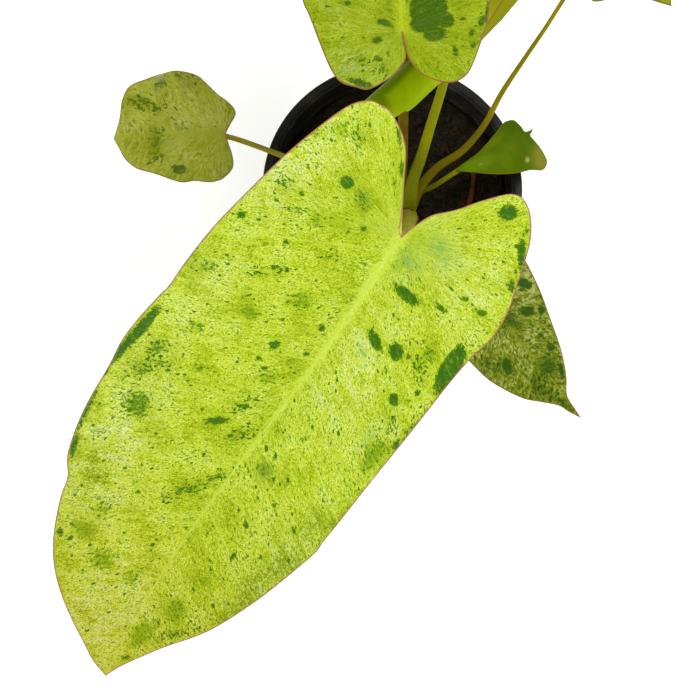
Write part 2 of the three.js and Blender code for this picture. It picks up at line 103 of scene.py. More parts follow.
# Larger bark pieces that show in the photograph: place, size and how brown they are
BARK_PIECES = [
    (31, 30, 2.6, 0.9), (19, 13, 3, 0.8), (33, -6, 2.8, 0.7), (35, 8, 2.2, 0.9), (26, 22, 2, 0.6),
    (40, -2, 2, 0.5), (14, 30, 2.2, 0.4), (-30, 34, 2.4, 0.3), (-42, 8, 2.2, 0.4), (44, 14, 2, 0.5),
]

# The stem that all the leaves grow from
STEM_X = 6
STEM_Y = -15.2
STEM_FOOT = 74
STEM_TOP = 107
STEM_RADIUS = 5.7
STEM_SIDES = 64
STEM_SCARS = 5
STEPS_PER_SCAR = 8
SCAR_RELIEF = 0.7

# A root that arches out of the soil beside the stem
ROOT_PATH = [
    (39, 19.2, 78), (38.7, 13.1, 82.5), (38.2, 6.2, 85), (37.2, -0.8, 85.2), (35, -7.8, 84.4),
    (32, -14.8, 79),
]
ROOT_RADIUS = 1.1
ROOT_POINTS = 60
ROOT_SIDES = 16

# Blades. Veins and puffs reach their full height on a blade of the full length.
BLADE_HALF = 0.36
EDGE_HALF = 0.16
EDGE_TAPER = 1.2
RIB_DEPTH = 1.2
RIB_WIDTH = 3
GROOVE_DEPTH = 0.3
GROOVE_WIDTH = 1.6
VEIN_LEAN = 0.55
VEIN_OFFSET = 0.15
VEIN_FADE = 6
VEIN_WIDTH = 1.1
VEIN_DENT = 0.16
VEIN_RIDGE = 0.2
PUFF = 0.12
FULL_LENGTH = 180
FOLD_WIDTH = 6
SHARP_FOLD_WIDTH = 0.5
RIPPLE_SHARE = 0.25
GRID_STEP = 1.1
GRID_CROWDING = 1.1

# How far the midrib's line is followed behind and past the blade, how far inside a patch a place counts
# that is far from all of them, and how much a face looks against the upper side to be an under face
BEHIND = 60
PAST = 10
OUTSIDE = -6.0
UNDER_FACING = -0.3

# Petioles
PETIOLE_REACH = 2.5
PETIOLE_SINK = 0.6
PETIOLE_POINTS = 110
PETIOLE_SIDES = 28
PETIOLE_FLATTENING = 0.22
RIDGE_HEIGHT = 0.06
RIDGE_ANGLE = 1.15
RIDGE_SPREAD = 0.25

# What most leaves share: fold and curls from base to tip, left half and right half, the margin's ripple
PLAIN_LEAF = dict(
    bend=0, sway=0, pitch=0, lobe_drop=0, roll=0, fold=(4, 3), curls=((-5, -5), (-5, -5)), ripple=(0, 20),
    crisp=(), loose=(), light_and_tone=(), tone_and_sheen=(), blue=(),
)

# The broad zones are of three kinds. The first is a deeper tone: partly painted shade on the front leaf,
# painted shade along one edge of the rolled leaf, and a lighter zone with painted sheen on the young leaf's
# upper face. The second is a paler tone, tan on the young leaf and olive on the rolled leaf, and partly
# painted sheen on the front and back leaves. The third is a painted bluish sheen, which is a painted glint
# on the young leaf.
# Each leaf: its blade's place and pose, both margins between notch and tip as x along the midrib and y
# across it, and the petiole's centre line from inside the stem to just below the blade. Its marks are
# placed, each x, y, length, width and angle from the midrib: crisp dark patches, loose ones with
# a darkness, and broad soft zones of a tone with a strength. petiole_look holds two body shades, the
# colour of the upper edges, and the colour and length of the foot.
# look is a marbled upper face: shades run from the darkest to the palest grain of the ground, grain is
# its size and bite its contrast; dots holds spread, radius and share of each set of dots.
# inner and outer are a plain leaf's upper and under face: three shades, the colour of the first kind of
# zone (painted shade on the rolled leaf's under face, a lighter colour with painted sheen on the young
# leaf's upper face), its margin, and where there is one a tan zone and a painted glint. The rolled leaf
# shows its under face.
LEAVES = {}
LEAVES["front_leaf"] = dict(
    PLAIN_LEAF, at=(1, -48.8, 194), length=225, heading=235.8, bend=4, sway=-7, pitch=9, droop=22,
    lobe_drop=4, roll=-6, fold=(10, 3), curls=((-3, -3), (-3, -3)), ripple=(1.1, 46), side_veins=13,
    notch=1.4, radii=(3.8, 2.6),
    petiole_look=((130, 128, 30), (170, 164, 66), (170, 124, 70), (140, 118, 50), 17),
    left=[
        (-2.4, 1.2), (-11.3, 4.8), (-18.7, 11.7), (-25.6, 16.9), (-32.4, 22.5), (-36, 26.6), (-36.6, 31),
        (-32.8, 36.8), (-23.4, 42.8), (-5.4, 48.3), (4.5, 50.6), (15.5, 50.7), (26, 48.4), (44.5, 46.6),
        (79, 45.3), (113, 45.1), (125, 44.8), (155.8, 37.7), (179.5, 28.8), (199.3, 15.3), (216.4, 4.3),
    ],
    right=[
        (0, -2), (-5.2, -4.4), (-17.2, -11.3), (-28.6, -18.8), (-35, -29), (-35.6, -35), (-34, -40.2),
        (-27.5, -45.6), (-11, -51.4), (11.7, -57.5), (34.3, -61.9), (58, -64.2), (71, -64.3), (77, -65.2),
        (99, -67), (113, -65.4), (131, -63.2), (149.8, -58.9), (157.9, -53.6), (166, -51.5), (181.3, -45.3),
        (191.9, -39.1), (200.2, -31.9), (207.5, -23.7), (215.1, -14.3), (221.2, -7.2),
    ],
    petiole=[(6.8, -14.8, 96), (7.2, -17.8, 106), (6, -26.8, 130), (3.4, -39.7, 164), (1.2, -48, 187)],
    crisp=[
        (19, 14, 12.5, 4.5, 85), (16, 28, 6, 2, 85), (9, 42, 4, 2.5, 125), (8, 34, 2.5, 2, 125),
        (40, 14, 9.5, 4, 60), (39, 23, 7, 5.5, 45), (38, 28, 2.5, 1.5, 45), (33, 44, 21.5, 7.5, 5),
        (54, 33, 5, 4, 35), (47, 39, 2.5, 2.5, 35), (47, 24, 2, 1, 45), (67, 44, 4.5, 2.5, 5),
        (48, -6, 3.5, 3, 140), (87, 14, 2.5, 2, 35), (-19, 42, 13, 3, 30), (-6, 46, 5.5, 2.5, 25),
        (-29, 29, 8, 6, 130), (-12, 44, 2.5, 1.5, 30), (-27, 39, 3, 1, 35), (102, -17, 10, 3, 130),
        (64, -17, 5, 3.5, 160), (72, -19, 2, 2, 0), (86, -31, 2, 1.5, 130), (90, -35, 2, 1.5, 130),
        (94, -41, 1.5, 1, 130), (86, -10, 2.5, 2, 125), (119, -33, 2.5, 1, 130), (135, -31, 1.5, 1.5, 0),
        (145, -26, 2, 1.5, 125), (61, -41, 2, 1, 130), (91, -63, 24, 4.5, 175), (102, -64.5, 18, 3.5, 178),
        (115, -65, 14, 2, 185), (132, -61.5, 18, 2, -170), (146, -58, 12, 2.5, -162),
        (116, 21, 3.5, 1.5, 45), (130, 17, 4, 2.5, 35), (144, 20, 4.5, 2, -175), (119, 33, 2.5, 1.5, 45),
        (177, -44, 3.5, 3, 30), (189, 9, 3.5, 1.5, 25), (212, 4, 3, 1.5, 140), (-4, -29, 5.5, 5, 115),
        (9, -41, 2, 2, 0), (-3, -42, 1.5, 1.5, 0), (3, -29, 1.5, 1, 125), (28, -36, 2.5, 2, 125),
        (29, -56, 3.5, 3, 125), (33, -42, 2, 1, 125), (11, -18, 1.5, 1, 125), (7, -14, 2.5, 2, 125),
        (-20, -14.5, 6, 1.6, 35), (-30, -23, 8.5, 1.5, 45), (-14, -14, 2, 1, 35),
    ],
    loose=[
        (39, 34, 5.5, 2.5, 40, 0.8), (32, 34, 4, 2.5, 55, 0.6), (62, 38, 2, 1.5, 35, 0.8),
        (74, 39, 11.5, 6, 0, 0.4), (57, 46, 12.5, 2, -10, 0.8), (43, -19, 3.5, 3, 125, 0.5),
        (117, -47, 10.5, 9.5, 155, 0.7), (100, -6, 6.5, 3, 145, 0.7), (94, -53, 8.5, 5, 160, 0.7),
        (103, -52, 10.5, 3, 150, 0.6), (43, -18, 5.5, 3, 125, 0.5), (59, -32, 4.5, 3.5, 125, 0.4),
        (76, -12, 4.5, 2.5, 125, 0.5), (91, -13, 3, 1, 150, 0.8), (133, -11, 9, 2, 145, 0.8),
        (123, -5, 5.5, 1.5, 145, 0.7), (54, -56, 4.5, 2.5, 125, 0.5), (78, -47, 5, 3, 130, 0.4),
        (171, -37, 6, 5, 125, 0.3), (177, -23, 8.5, 7.5, 125, 0.4), (178, -10, 5, 4.5, 120, 0.4),
        (179, 13, 9.5, 6.5, 20, 0.4), (198, 5, 11.5, 6.5, 170, 0.3), (190, 17, 7.5, 2, 140, 0.7),
        (160, -34, 5, 5, 0, 0.4), (107, 8, 5.5, 5, 130, 0.4), (-2, -21, 4, 2, 55, 0.8),
        (-21, -36, 4.5, 2.5, 45, 0.6), (-19, -42, 5.5, 3.5, 125, 0.3), (-13, -50, 4.5, 4, 125, 0.4),
        (10, -49, 3.5, 2, -175, 0.8), (15, -39, 3, 1, 125, 0.7), (14, -31, 3.5, 3, 125, 0.5),
        (23, -19, 2.5, 1.5, 125, 0.7), (38, -32, 2.5, 1.5, 125, 0.8), (44, -38, 2.5, 1.5, 125, 0.8),
    ],
    # Zones of a deeper tone, partly painted shade beside the midrib near the base and over one half towards
    # the tip; paler zones, partly painted sheen; and zones of painted bluish sheen in the colour listed in
    # look
    light_and_tone=[
        (17, -12, 60, 26, 15, 1), (-12, -13, 26, 16, 30, 0.7), (73, -2, 50, 18, -8, 0.8),
        (128, 0, 40, 18, 0, 0.6), (171, 9, 30, 22, 5, 0.8), (38, 48, 40, 8, 5, 0.8),
        (140, 38, 110, 20, -10, 2), (162, 16, 60, 20, 0, 1.2), (160, -44, 60, 14, 8, 1),
    ],
    tone_and_sheen=[
        (1, -48, 60, 22, -10, 1), (55, 14, 50, 20, 5, 1), (136, -45, 60, 28, 10, 0.8),
        (195, -12, 40, 30, 0, 0.7), (67, -51, 60, 20, 0, 0.5), (66, 36, 30, 14, 0, 0.5),
        (4, 32, 36, 26, 30, 0.8), (133, 36, 60, 14, -5, 0.6),
    ],
    blue=[
        (-2, 16, 16, 12, 60, 1), (9, 8, 14, 12, 60, 1), (9, -49, 8, 5, 30, 0.6), (107, 9, 8, 7, 0, 0.7),
        (72, 36, 12, 8, 0, 0.8), (46, 12, 8, 5, 40, 0.6),
    ],
    look=dict(
        shades=[(118, 142, 0), (158, 182, 10), (190, 210, 44), (208, 226, 80), (228, 240, 134)],
        green=(138, 172, 14), leaf=(96, 138, 12), dark=(62, 108, 4), blue=(132, 176, 112),
        pale=(224, 234, 160), rib=(206, 230, 84), edge=(186, 124, 100), tip=(1.04, 0.76, 1.25), grain=0.58,
        bite=1.4, pepper=0.6, dots=[(1.9, 0.5, 0.24), (4.2, 0.9, 0.3)],
    ),
)
LEAVES["back_leaf"] = dict(
    PLAIN_LEAF, at=(0.8, 31.2, 200), length=180, heading=92, bend=2, pitch=16, droop=24, fold=(8, 3),
    curls=((-3, -3), (-3, -3)), ripple=(1, 40), side_veins=11, notch=-0.6, radii=(3.4, 1.9),
    petiole_look=((108, 86, 0), (132, 108, 6), (150, 110, 24), (110, 84, 10), 17),
    left=[
        (-6.2, -0.25), (-12, -1), (-17.7, 1.9), (-22.5, 5.8), (-28.3, 14), (-27.5, 19), (-25.6, 24.3),
        (-21.3, 27.4), (-13.7, 30.2), (7.9, 36.5), (15.3, 38.7), (42, 43), (72, 44), (102, 40.5), (132, 32),
        (156, 20), (172, 8),
    ],
    right=[
        (-6.2, -0.65), (-12, -1.6), (-15.5, -3), (-21.2, -6.8), (-25.1, -12.6), (-26.3, -17.1),
        (-25, -21.5), (-20.2, -25.6), (-5.7, -31.3), (3, -34), (14, -35.6), (42, -40.5), (72, -42),
        (102, -38.5), (132, -30.5), (156, -19), (172, -7.5),
    ],
    petiole=[
        (6.8, -14.8, 92), (3.3, -7.3, 103), (3.4, 6.3, 125), (3.3, 22.7, 148.5), (3, 34.2, 162),
        (2.8, 36.8, 180),
    ],
    crisp=[
        (10, -11, 15, 20, -95), (3, -9, 11.5, 10, -80), (4, -16, 10.5, 8, -135), (-3, -12.5, 9, 7, -90),
        (4, 7, 6.5, 3.5, -115), (-5, 10, 4.5, 3, -50), (-12, -20, 4.5, 2, -175), (-14, 10, 4, 2.5, -100),
        (1, -31, 5.5, 2.5, 165), (7, -34, 14, 1.5, 170), (3, -24, 2, 2.5, 0), (-4, -27, 4, 2, 160),
        (-10, -27, 3, 2, 170), (13, 21, 2.5, 3, 0), (11, 29, 1.5, 2, 0), (-18, -13, 2, 1, 175),
        (-11, 6, 3, 1, 175), (-26, 17, 12, 3.5, 67), (48, 18, 14, 7, 70), (60, -21, 9, 5, -60),
        (88, 12, 7, 4, 60), (74, -30, 18, 4, -5), (126, 16, 6, 4, 50), (36, 33, 8, 3, 20),
    ],
    loose=[
        (-15, 16, 2.5, 2.5, -90, 0.7), (-19, 9, 3, 2, -175, 0.8), (110, -14, 12, 6, -50, 0.8),
        (146, -3, 7, 3, 70, 0.8),
    ],
    # Zones of a deeper tone; paler zones, partly painted sheen on the lobes; and zones of painted bluish
    # sheen
    light_and_tone=[(12, 0, 60, 9, 0, 1), (-18, 4, 18, 8, 10, 0.6), (90, 0, 120, 12, 0, 0.6)],
    tone_and_sheen=[(-17, 20, 16, 12, 30, 1), (10, 26, 20, 10, 0, 0.4), (60, 20, 50, 20, 0, 0.5)],
    blue=[(-20, 22, 12, 8, 40, 0.8), (-5, -15, 6, 4, 0, 0.8)],
    look=dict(
        shades=[(98, 122, 0), (130, 150, 0), (152, 172, 22), (172, 190, 54), (196, 210, 100)],
        green=(118, 144, 4), leaf=(94, 124, 12), dark=(70, 102, 4), blue=(156, 180, 112),
        pale=(192, 208, 130), rib=(184, 202, 28), edge=(152, 112, 62), tip=(0.98, 0.9, 0.9), grain=0.72,
        bite=0.8, pepper=0.35, dots=[(2.4, 0.5, 0.22), (4.5, 0.8, 0.2)],
    ),
)
LEAVES["new_leaf"] = dict(
    PLAIN_LEAF, at=(19.8, 33.7, 165), length=165, heading=46, bend=15.6, droop=-22, fold=(0, 0),
    curls=((79, 71), (92, 82)), side_veins=11, notch=-1, radii=(3.6, 1.95),
    petiole_look=((150, 154, 4), (164, 166, 14), (186, 164, 52), (112, 112, 0), 34),
    left=[
        (-8, 1.2), (-20, 4), (-34, 9), (-42, 16), (-43.5, 23), (-40, 29), (-30, 32.5), (-12, 33.5),
        (8, 32.5), (26, 29), (50, 26.5), (80, 25.5), (110, 22.5), (140, 14.5), (158, 5),
    ],
    right=[
        (-8, -1.2), (-18, -4), (-27, -9), (-31, -15), (-28, -22), (-18, -26), (0, -26.5), (24, -26),
        (50, -26), (80, -25.5), (110, -22), (140, -12.5), (158, -4),
    ],
    petiole=[
        (6.8, -14.8, 99), (7.6, -8.8, 107), (8.5, -2.7, 112.5), (11.5, 4.3, 120), (15.6, 15.7, 134),
        (20, 27.9, 152),
    ],
    # A band of painted shade along one edge of the rolled blade, in its under face's darker green, and an
    # olive tone further along it
    light_and_tone=[(-24, 16.5, 44, 10, -3, 1.3), (-38, 20, 13, 16, 0, 1)],
    tone_and_sheen=[(60, 0, 110, 100, 0, 1.4)],
    inner=([(156, 178, 26), (168, 188, 40), (178, 198, 56)], (140, 160, 24), (168, 120, 60)),
    outer=([(172, 200, 12), (182, 210, 18), (192, 218, 30)], (124, 150, 2), (160, 116, 60), (150, 150, 36)),
)
LEAVES["left_leaf"] = dict(
    PLAIN_LEAF, at=(-76, 17.7, 116), length=53, heading=178, pitch=6, droop=14, lobe_drop=4,
    ripple=(0.8, 26), side_veins=6, notch=-0.8, radii=(2.6, 1.2),
    petiole_look=((160, 150, 40), (182, 170, 66), (170, 130, 40), (130, 104, 20), 17),
    left=[
        (-2.2, 4.2), (-4.2, 9.5), (-4.8, 15.2), (-1.6, 19.8), (1.8, 22.3), (6, 23.2), (13, 21.9),
        (20, 21.6), (31.1, 18.3), (39.9, 15.3), (46, 10.8), (49.7, 5.2),
    ],
    right=[
        (-1.2, -2.6), (-3.9, -6.6), (-5, -9.6), (-3.5, -12.5), (-0.2, -15.5), (3.8, -18.6), (10.7, -25.7),
        (15.3, -29.2), (22, -29.4), (28, -29.2), (36, -31), (42.1, -27.5), (46.5, -23.4), (49.2, -17.1),
        (50.3, -9.1),
    ],
    petiole=[
        (6.8, -14.8, 86), (-6, -6.8, 98), (-28.7, 3.2, 101), (-50.1, 10.9, 105), (-62.1, 14.4, 109),
        (-71, 16.5, 112.6),
    ],
    crisp=[(20, 16, 7.5, 4, 180)],
    loose=[
        (37, -15, 14.5, 4.5, 165, 0.6), (31, -25, 6, 4, 0, 0.5), (32, 4, 5, 12, -175, 0.35),
        (19, -27, 4.5, 3, 150, 0.4),
    ],
    light_and_tone=[(40, 6, 16, 16, 0, 0.9), (20, -24, 18, 7, 0, 0.7), (10, 16, 14, 8, 0, 0.5)],
    tone_and_sheen=[(14, -8, 20, 14, 0, 0.8), (24, 10, 16, 10, 0, 0.5)],
    # A zone of painted bluish sheen
    blue=[(26, 2, 16, 10, 30, 0.6)],
    look=dict(
        shades=[(112, 124, 12), (138, 146, 30), (156, 162, 54), (172, 177, 72), (192, 196, 98)],
        green=(116, 130, 24), leaf=(100, 116, 30), dark=(80, 98, 30), blue=(122, 140, 60),
        pale=(172, 180, 96), rib=(150, 160, 46), edge=(160, 124, 56), grain=1.5, bite=0.8, pepper=0.15,
        dots=[(5, 0.6, 0.15)],
    ),
)
LEAVES["right_leaf"] = dict(
    PLAIN_LEAF, at=(25, -42.8, 122), length=97, heading=-46.2, pitch=14, droop=20, fold=(6, 4),
    ripple=(0.8, 30), side_veins=8, notch=-1, radii=(2.6, 1.4),
    petiole_look=((120, 112, 6), (144, 134, 18), (150, 120, 30), (120, 96, 24), 17),
    left=[
        (-6, 3), (-10, 10), (-9, 18), (-1, 24.5), (10, 26.6), (22.9, 25.2), (46.6, 17.9), (62, 12.5),
        (74.8, 6.5), (82.4, 1.3), (89.7, 0.4),
    ],
    right=[
        (-6, -3), (-11, -9), (-11, -17), (-3, -23.5), (12, -26), (37, -23.5), (51.3, -22), (66.9, -16.2),
        (75.6, -10.3), (83.3, -5), (90.3, -2.7),
    ],
    petiole=[(6.8, -14.8, 84), (10.5, -19.8, 95), (17, -28.8, 105), (23, -38.3, 114)],
    crisp=[
        (29, 18, 7, 4.5, 25), (39, 11, 7.5, 4.5, 45), (43, 16, 4, 3, -40), (59, 9, 4, 3.5, 0),
        (51, -12, 7.5, 4, -30), (71, 6, 7.5, 2.5, -25),
    ],
    loose=[
        (65, 2, 10, 7, 30, 0.7), (80, -4, 9.5, 2.5, 25, 0.8), (37, 2, 7.5, 4, 30, 0.8),
        (14, -12, 8, 5, -60, 0.8), (8, 12, 6, 4, 60, 0.8),
    ],
    light_and_tone=[(46, -2, 20, 6, 5, 1), (70, -8, 20, 6, -20, 0.6)],
    tone_and_sheen=[(34, 16, 12, 14, 60, 0.9), (54, 2, 24, 14, 20, 0.7)],
    look=dict(
        shades=[(54, 76, 0), (84, 102, 0), (122, 136, 24), (156, 166, 66), (200, 204, 120)],
        green=(90, 112, 6), leaf=(72, 100, 12), dark=(58, 90, 14), blue=(120, 140, 90),
        pale=(184, 190, 112), rib=(144, 156, 18), edge=(160, 122, 76), grain=1.3, bite=1.4, pepper=0.5,
        dots=[(2.6, 0.8, 0.3)],
    ),
)
LEAVES["young_leaf"] = dict(
    PLAIN_LEAF, at=(29.3, 3.7, 108), length=40.3, heading=30, droop=8, fold=(0, 0),
    curls=((-20, -20), (-20, -20)), side_veins=5, notch=-1, radii=(1.8, 1.15),
    petiole_look=((128, 126, 2), (146, 144, 16), (160, 126, 40), (110, 96, 10), 24),
    left=[
        (1.5, 0.95), (7, 1.6), (13.1, 2.6), (22.9, 6.2), (29.7, 9.2), (32.5, 9.3), (34.3, 8.6), (35.3, 7.1),
        (35.9, 3.3), (36.2, 0.5),
    ],
    right=[
        (0.3, -1.1), (7, -5.9), (11.7, -8.9), (18, -12.2), (24.3, -14.7), (30, -16.2), (35, -18.8),
        (37.2, -18.7), (38.5, -17.8), (39.5, -15.3), (38.8, -9), (37.3, -2.4), (38.6, -1.2),
    ],
    petiole=[(6.8, -14.8, 82), (10, -8.2, 91), (13, -4, 97), (18.8, -2, 101), (25.8, 1.5, 105.6)],
    # A lighter zone with painted sheen near the base, a tan end, and a painted glint, in the upper face's
    # colours below
    light_and_tone=[(9, -2, 20, 7, -10, 1), (20, 3, 20, 4, 15, 0.7)],
    tone_and_sheen=[(39.5, -16, 14, 18, 20, 1.2)],
    blue=[(30.5, -11.3, 2.6, 2, 40, 1.2), (10, -3, 3, 1.2, 0, 0.5)],
    inner=(
        [(82, 106, 0), (92, 115, 4), (104, 124, 10)], (108, 132, 30), (124, 130, 34), (138, 138, 52),
        (172, 166, 94),
    ),
    outer=([(96, 122, 10), (110, 132, 16), (124, 138, 22)], (88, 114, 0), (124, 130, 34)),
)
LEAVES["far_leaf"] = dict(
    PLAIN_LEAF, at=(80.3, 71.8, 179), length=39.5, heading=-25, pitch=10, droop=14, ripple=(0.6, 22),
    side_veins=5, notch=-0.8, radii=(2.6, 0.9),
    petiole_look=((146, 132, 2), (168, 152, 20), (178, 142, 44), (110, 100, 8), 62),
    left=[
        (-4, 3), (-6.6, 8), (-4, 14), (4, 17.6), (12, 17), (20, 14.5), (28, 10.5), (34, 6.6), (37.2, 3.6),
        (38.2, 2),
    ],
    right=[
        (-4, -3), (-6.6, -8), (-4, -13.2), (1, -15.2), (5.5, -16), (8.5, -15.9), (12.3, -13.2), (17, -8.6),
        (22, -5), (27.6, -3.4), (30.4, -2.7), (34.1, -1.7),
    ],
    petiole=[
        (6.8, -14.8, 91), (9.4, -9, 97.5), (12.1, -3.4, 101.5), (19.8, 4.6, 107), (30.7, 10.4, 114),
        (39.3, 18.4, 123.5), (46.4, 29, 138), (54.9, 39.3, 152), (61.7, 47.2, 163), (74, 63.7, 174.5),
    ],
    loose=[(8, 9, 5, 3, 60, 0.8), (14, -8, 6, 3, -60, 0.8), (24, 2, 4, 2, 30, 0.7)],
    light_and_tone=[(20, 0, 20, 10, 0, 0.6)],
    tone_and_sheen=[(8, 0, 16, 16, 0, 0.6)],
    look=dict(
        shades=[(108, 112, 6), (134, 138, 14), (152, 154, 28), (166, 168, 52), (186, 186, 88)],
        green=(116, 128, 18), leaf=(98, 112, 24), dark=(80, 96, 22), blue=(118, 136, 60),
        pale=(180, 184, 96), rib=(152, 158, 46), edge=(128, 110, 40), grain=1.1, bite=0.8, pepper=0.3,
        dots=[(3.5, 0.8, 0.3)],
    ),
)


def colour(shade):
    """A photographed colour, 0 to 255, as the linear colour of the surface itself."""
    linear = []
    for part in shade:
        value = part / 255
        value = value / 12.92 if value < 0.04045 else ((value + 0.055) / 1.055) ** 2.4
        linear.append(min(max(value - SHEEN, 0.0005) / EXPOSURE, 0.95))
    return tuple(linear) + (1,)


class Paint:
    """Builds one procedural material, node by node: a body colour, then marks laid over it.

    The fields of blades and tubes are in millimetres, the place on other pieces is in metres.
    """

    def __init__(self, name, roughness=0.45, specular=0.1):
        self.material = bpy.data.materials.new(name)
        self.material.use_nodes = True
        self.tree = self.material.node_tree
        self.shader = self.tree.nodes["Principled BSDF"]
        self.shader.inputs["Roughness"].default_value = roughness
        self.shader.inputs["Specular IOR Level"].default_value = specular

    def node(self, kind, inputs=(), **settings):
        made = self.tree.nodes.new("ShaderNode" + kind)
        for key, value in settings.items():
            setattr(made, key, value)
        for key, value in dict(inputs).items():
            if isinstance(value, bpy.types.NodeSocket):
                self.tree.links.new(value, made.inputs[key])
            else:
                made.inputs[key].default_value = value
        return made

    def number(self, field):
        return self.node("Attribute", attribute_name=field).outputs["Fac"]

    def vector(self, field):
        return self.node("Attribute", attribute_name=field).outputs["Vector"]

    def place(self):
        return self.node("TexCoord").outputs["Object"]

    def axis(self, vector, number):
        return self.node("SeparateXYZ", {0: vector}).outputs[number]

    def maths(self, operation, a, b=0.0):
        return self.node("Math", {0: a, 1: b}, operation=operation).outputs[0]

    def product(self, a, b):
        return self.maths("MULTIPLY", a, b)

    def vectors(self, operation, a, b):
        return self.node("VectorMath", {0: a, 1: b}, operation=operation).outputs[0]

    def stretch(self, vector, x, y=1, z=1):
        return self.vectors("MULTIPLY", vector, (x, y, z))

    def warp(self, vector, size, amount):
        """Shifts a coordinate by noise of a feature size, by up to an amount."""
        noise = self.node("TexNoise", {"Vector": vector, "Scale": 1 / size, "Detail": 1})
        centred = self.vectors("SUBTRACT", noise.outputs["Color"], (0.5, 0.5, 0.5))
        return self.vectors("ADD", vector, self.stretch(centred, amount, amount, amount))

    def noise(self, vector, size, detail=2, roughness=0.55):
        inputs = {"Vector": vector, "Scale": 1 / size, "Detail": detail, "Roughness": roughness}
        return self.node("TexNoise", inputs).outputs["Fac"]

    def centred(self, vector, size, detail=2, roughness=0.55):
        """Noise about zero."""
        return self.sum(self.noise(vector, size, detail, roughness), -0.5)

    def dots(self, vector, spread, radius, share, ragged):
        """Scattered dots: a share of the places, a spread apart, gets one of up to a radius."""
        made = self.node("TexVoronoi", {"Vector": vector, "Scale": 1 / spread})
        random = self.node("SeparateColor", {0: made.outputs["Color"]}).outputs[0]
        grown = self.maths("MAXIMUM", self.sum(random, share - 1), 0)
        gap = self.sum((made.outputs["Distance"], spread), (grown, -radius / share), (ragged, 0.6), -0.18)
        return self.step(gap, 0.1, -0.1)

    def sum(self, *terms):
        """Adds numbers or sockets; a pair is a socket and its weight."""
        total = None
        for term in terms:
            part = self.product(*term) if isinstance(term, tuple) else term
            total = part if total is None else self.maths("ADD", total, part)
        return total

    def step(self, value, low, high):
        """0 below low, 1 above high and smooth between; low above high turns it round."""
        if low > high:
            return self.maths("SUBTRACT", 1.0, self.step(value, high, low))
        inputs = {"Value": value, "From Min": low, "From Max": high}
        return self.node("MapRange", inputs, interpolation_type="SMOOTHSTEP").outputs["Result"]

    def ramp(self, value, shades, first=0.14, last=0.86):
        """Photographed colours, spread evenly along a value."""
        made = self.node("ValToRGB", {0: value})
        points = made.color_ramp.elements
        places = np.linspace(first, last, len(shades))
        points[0].position = places[0]
        points[1].position = places[-1]
        for place in places[1:-1]:
            points.new(place)
        for point, shade in zip(points, shades):
            point.color = colour(shade)
        return made.outputs[0]

    def mix(self, factor, a, b, blend="MIX"):
        return self.node("Mix", {0: factor, 6: a, 7: b}, data_type="RGBA", blend_type=blend).outputs[2]

    def lay(self, shade, mask, share=1):
        """Lays a photographed colour, or a socket, over the body where a mask is 1."""
        if share != 1:
            mask = self.product(mask, share)
        if not isinstance(shade, bpy.types.NodeSocket):
            shade = colour(shade)
        self.body = self.mix(mask, self.body, shade)

    def bump(self, height, strength, distance):
        normal = self.node("Bump", {"Height": height, "Strength": strength, "Distance": distance})
        self.tree.links.new(normal.outputs["Normal"], self.shader.inputs["Normal"])

    def finish(self, roughness=None):
        self.tree.links.new(self.body, self.shader.inputs["Base Color"])
        if roughness is not None:
            self.tree.links.new(roughness, self.shader.inputs["Roughness"])
        return self.material


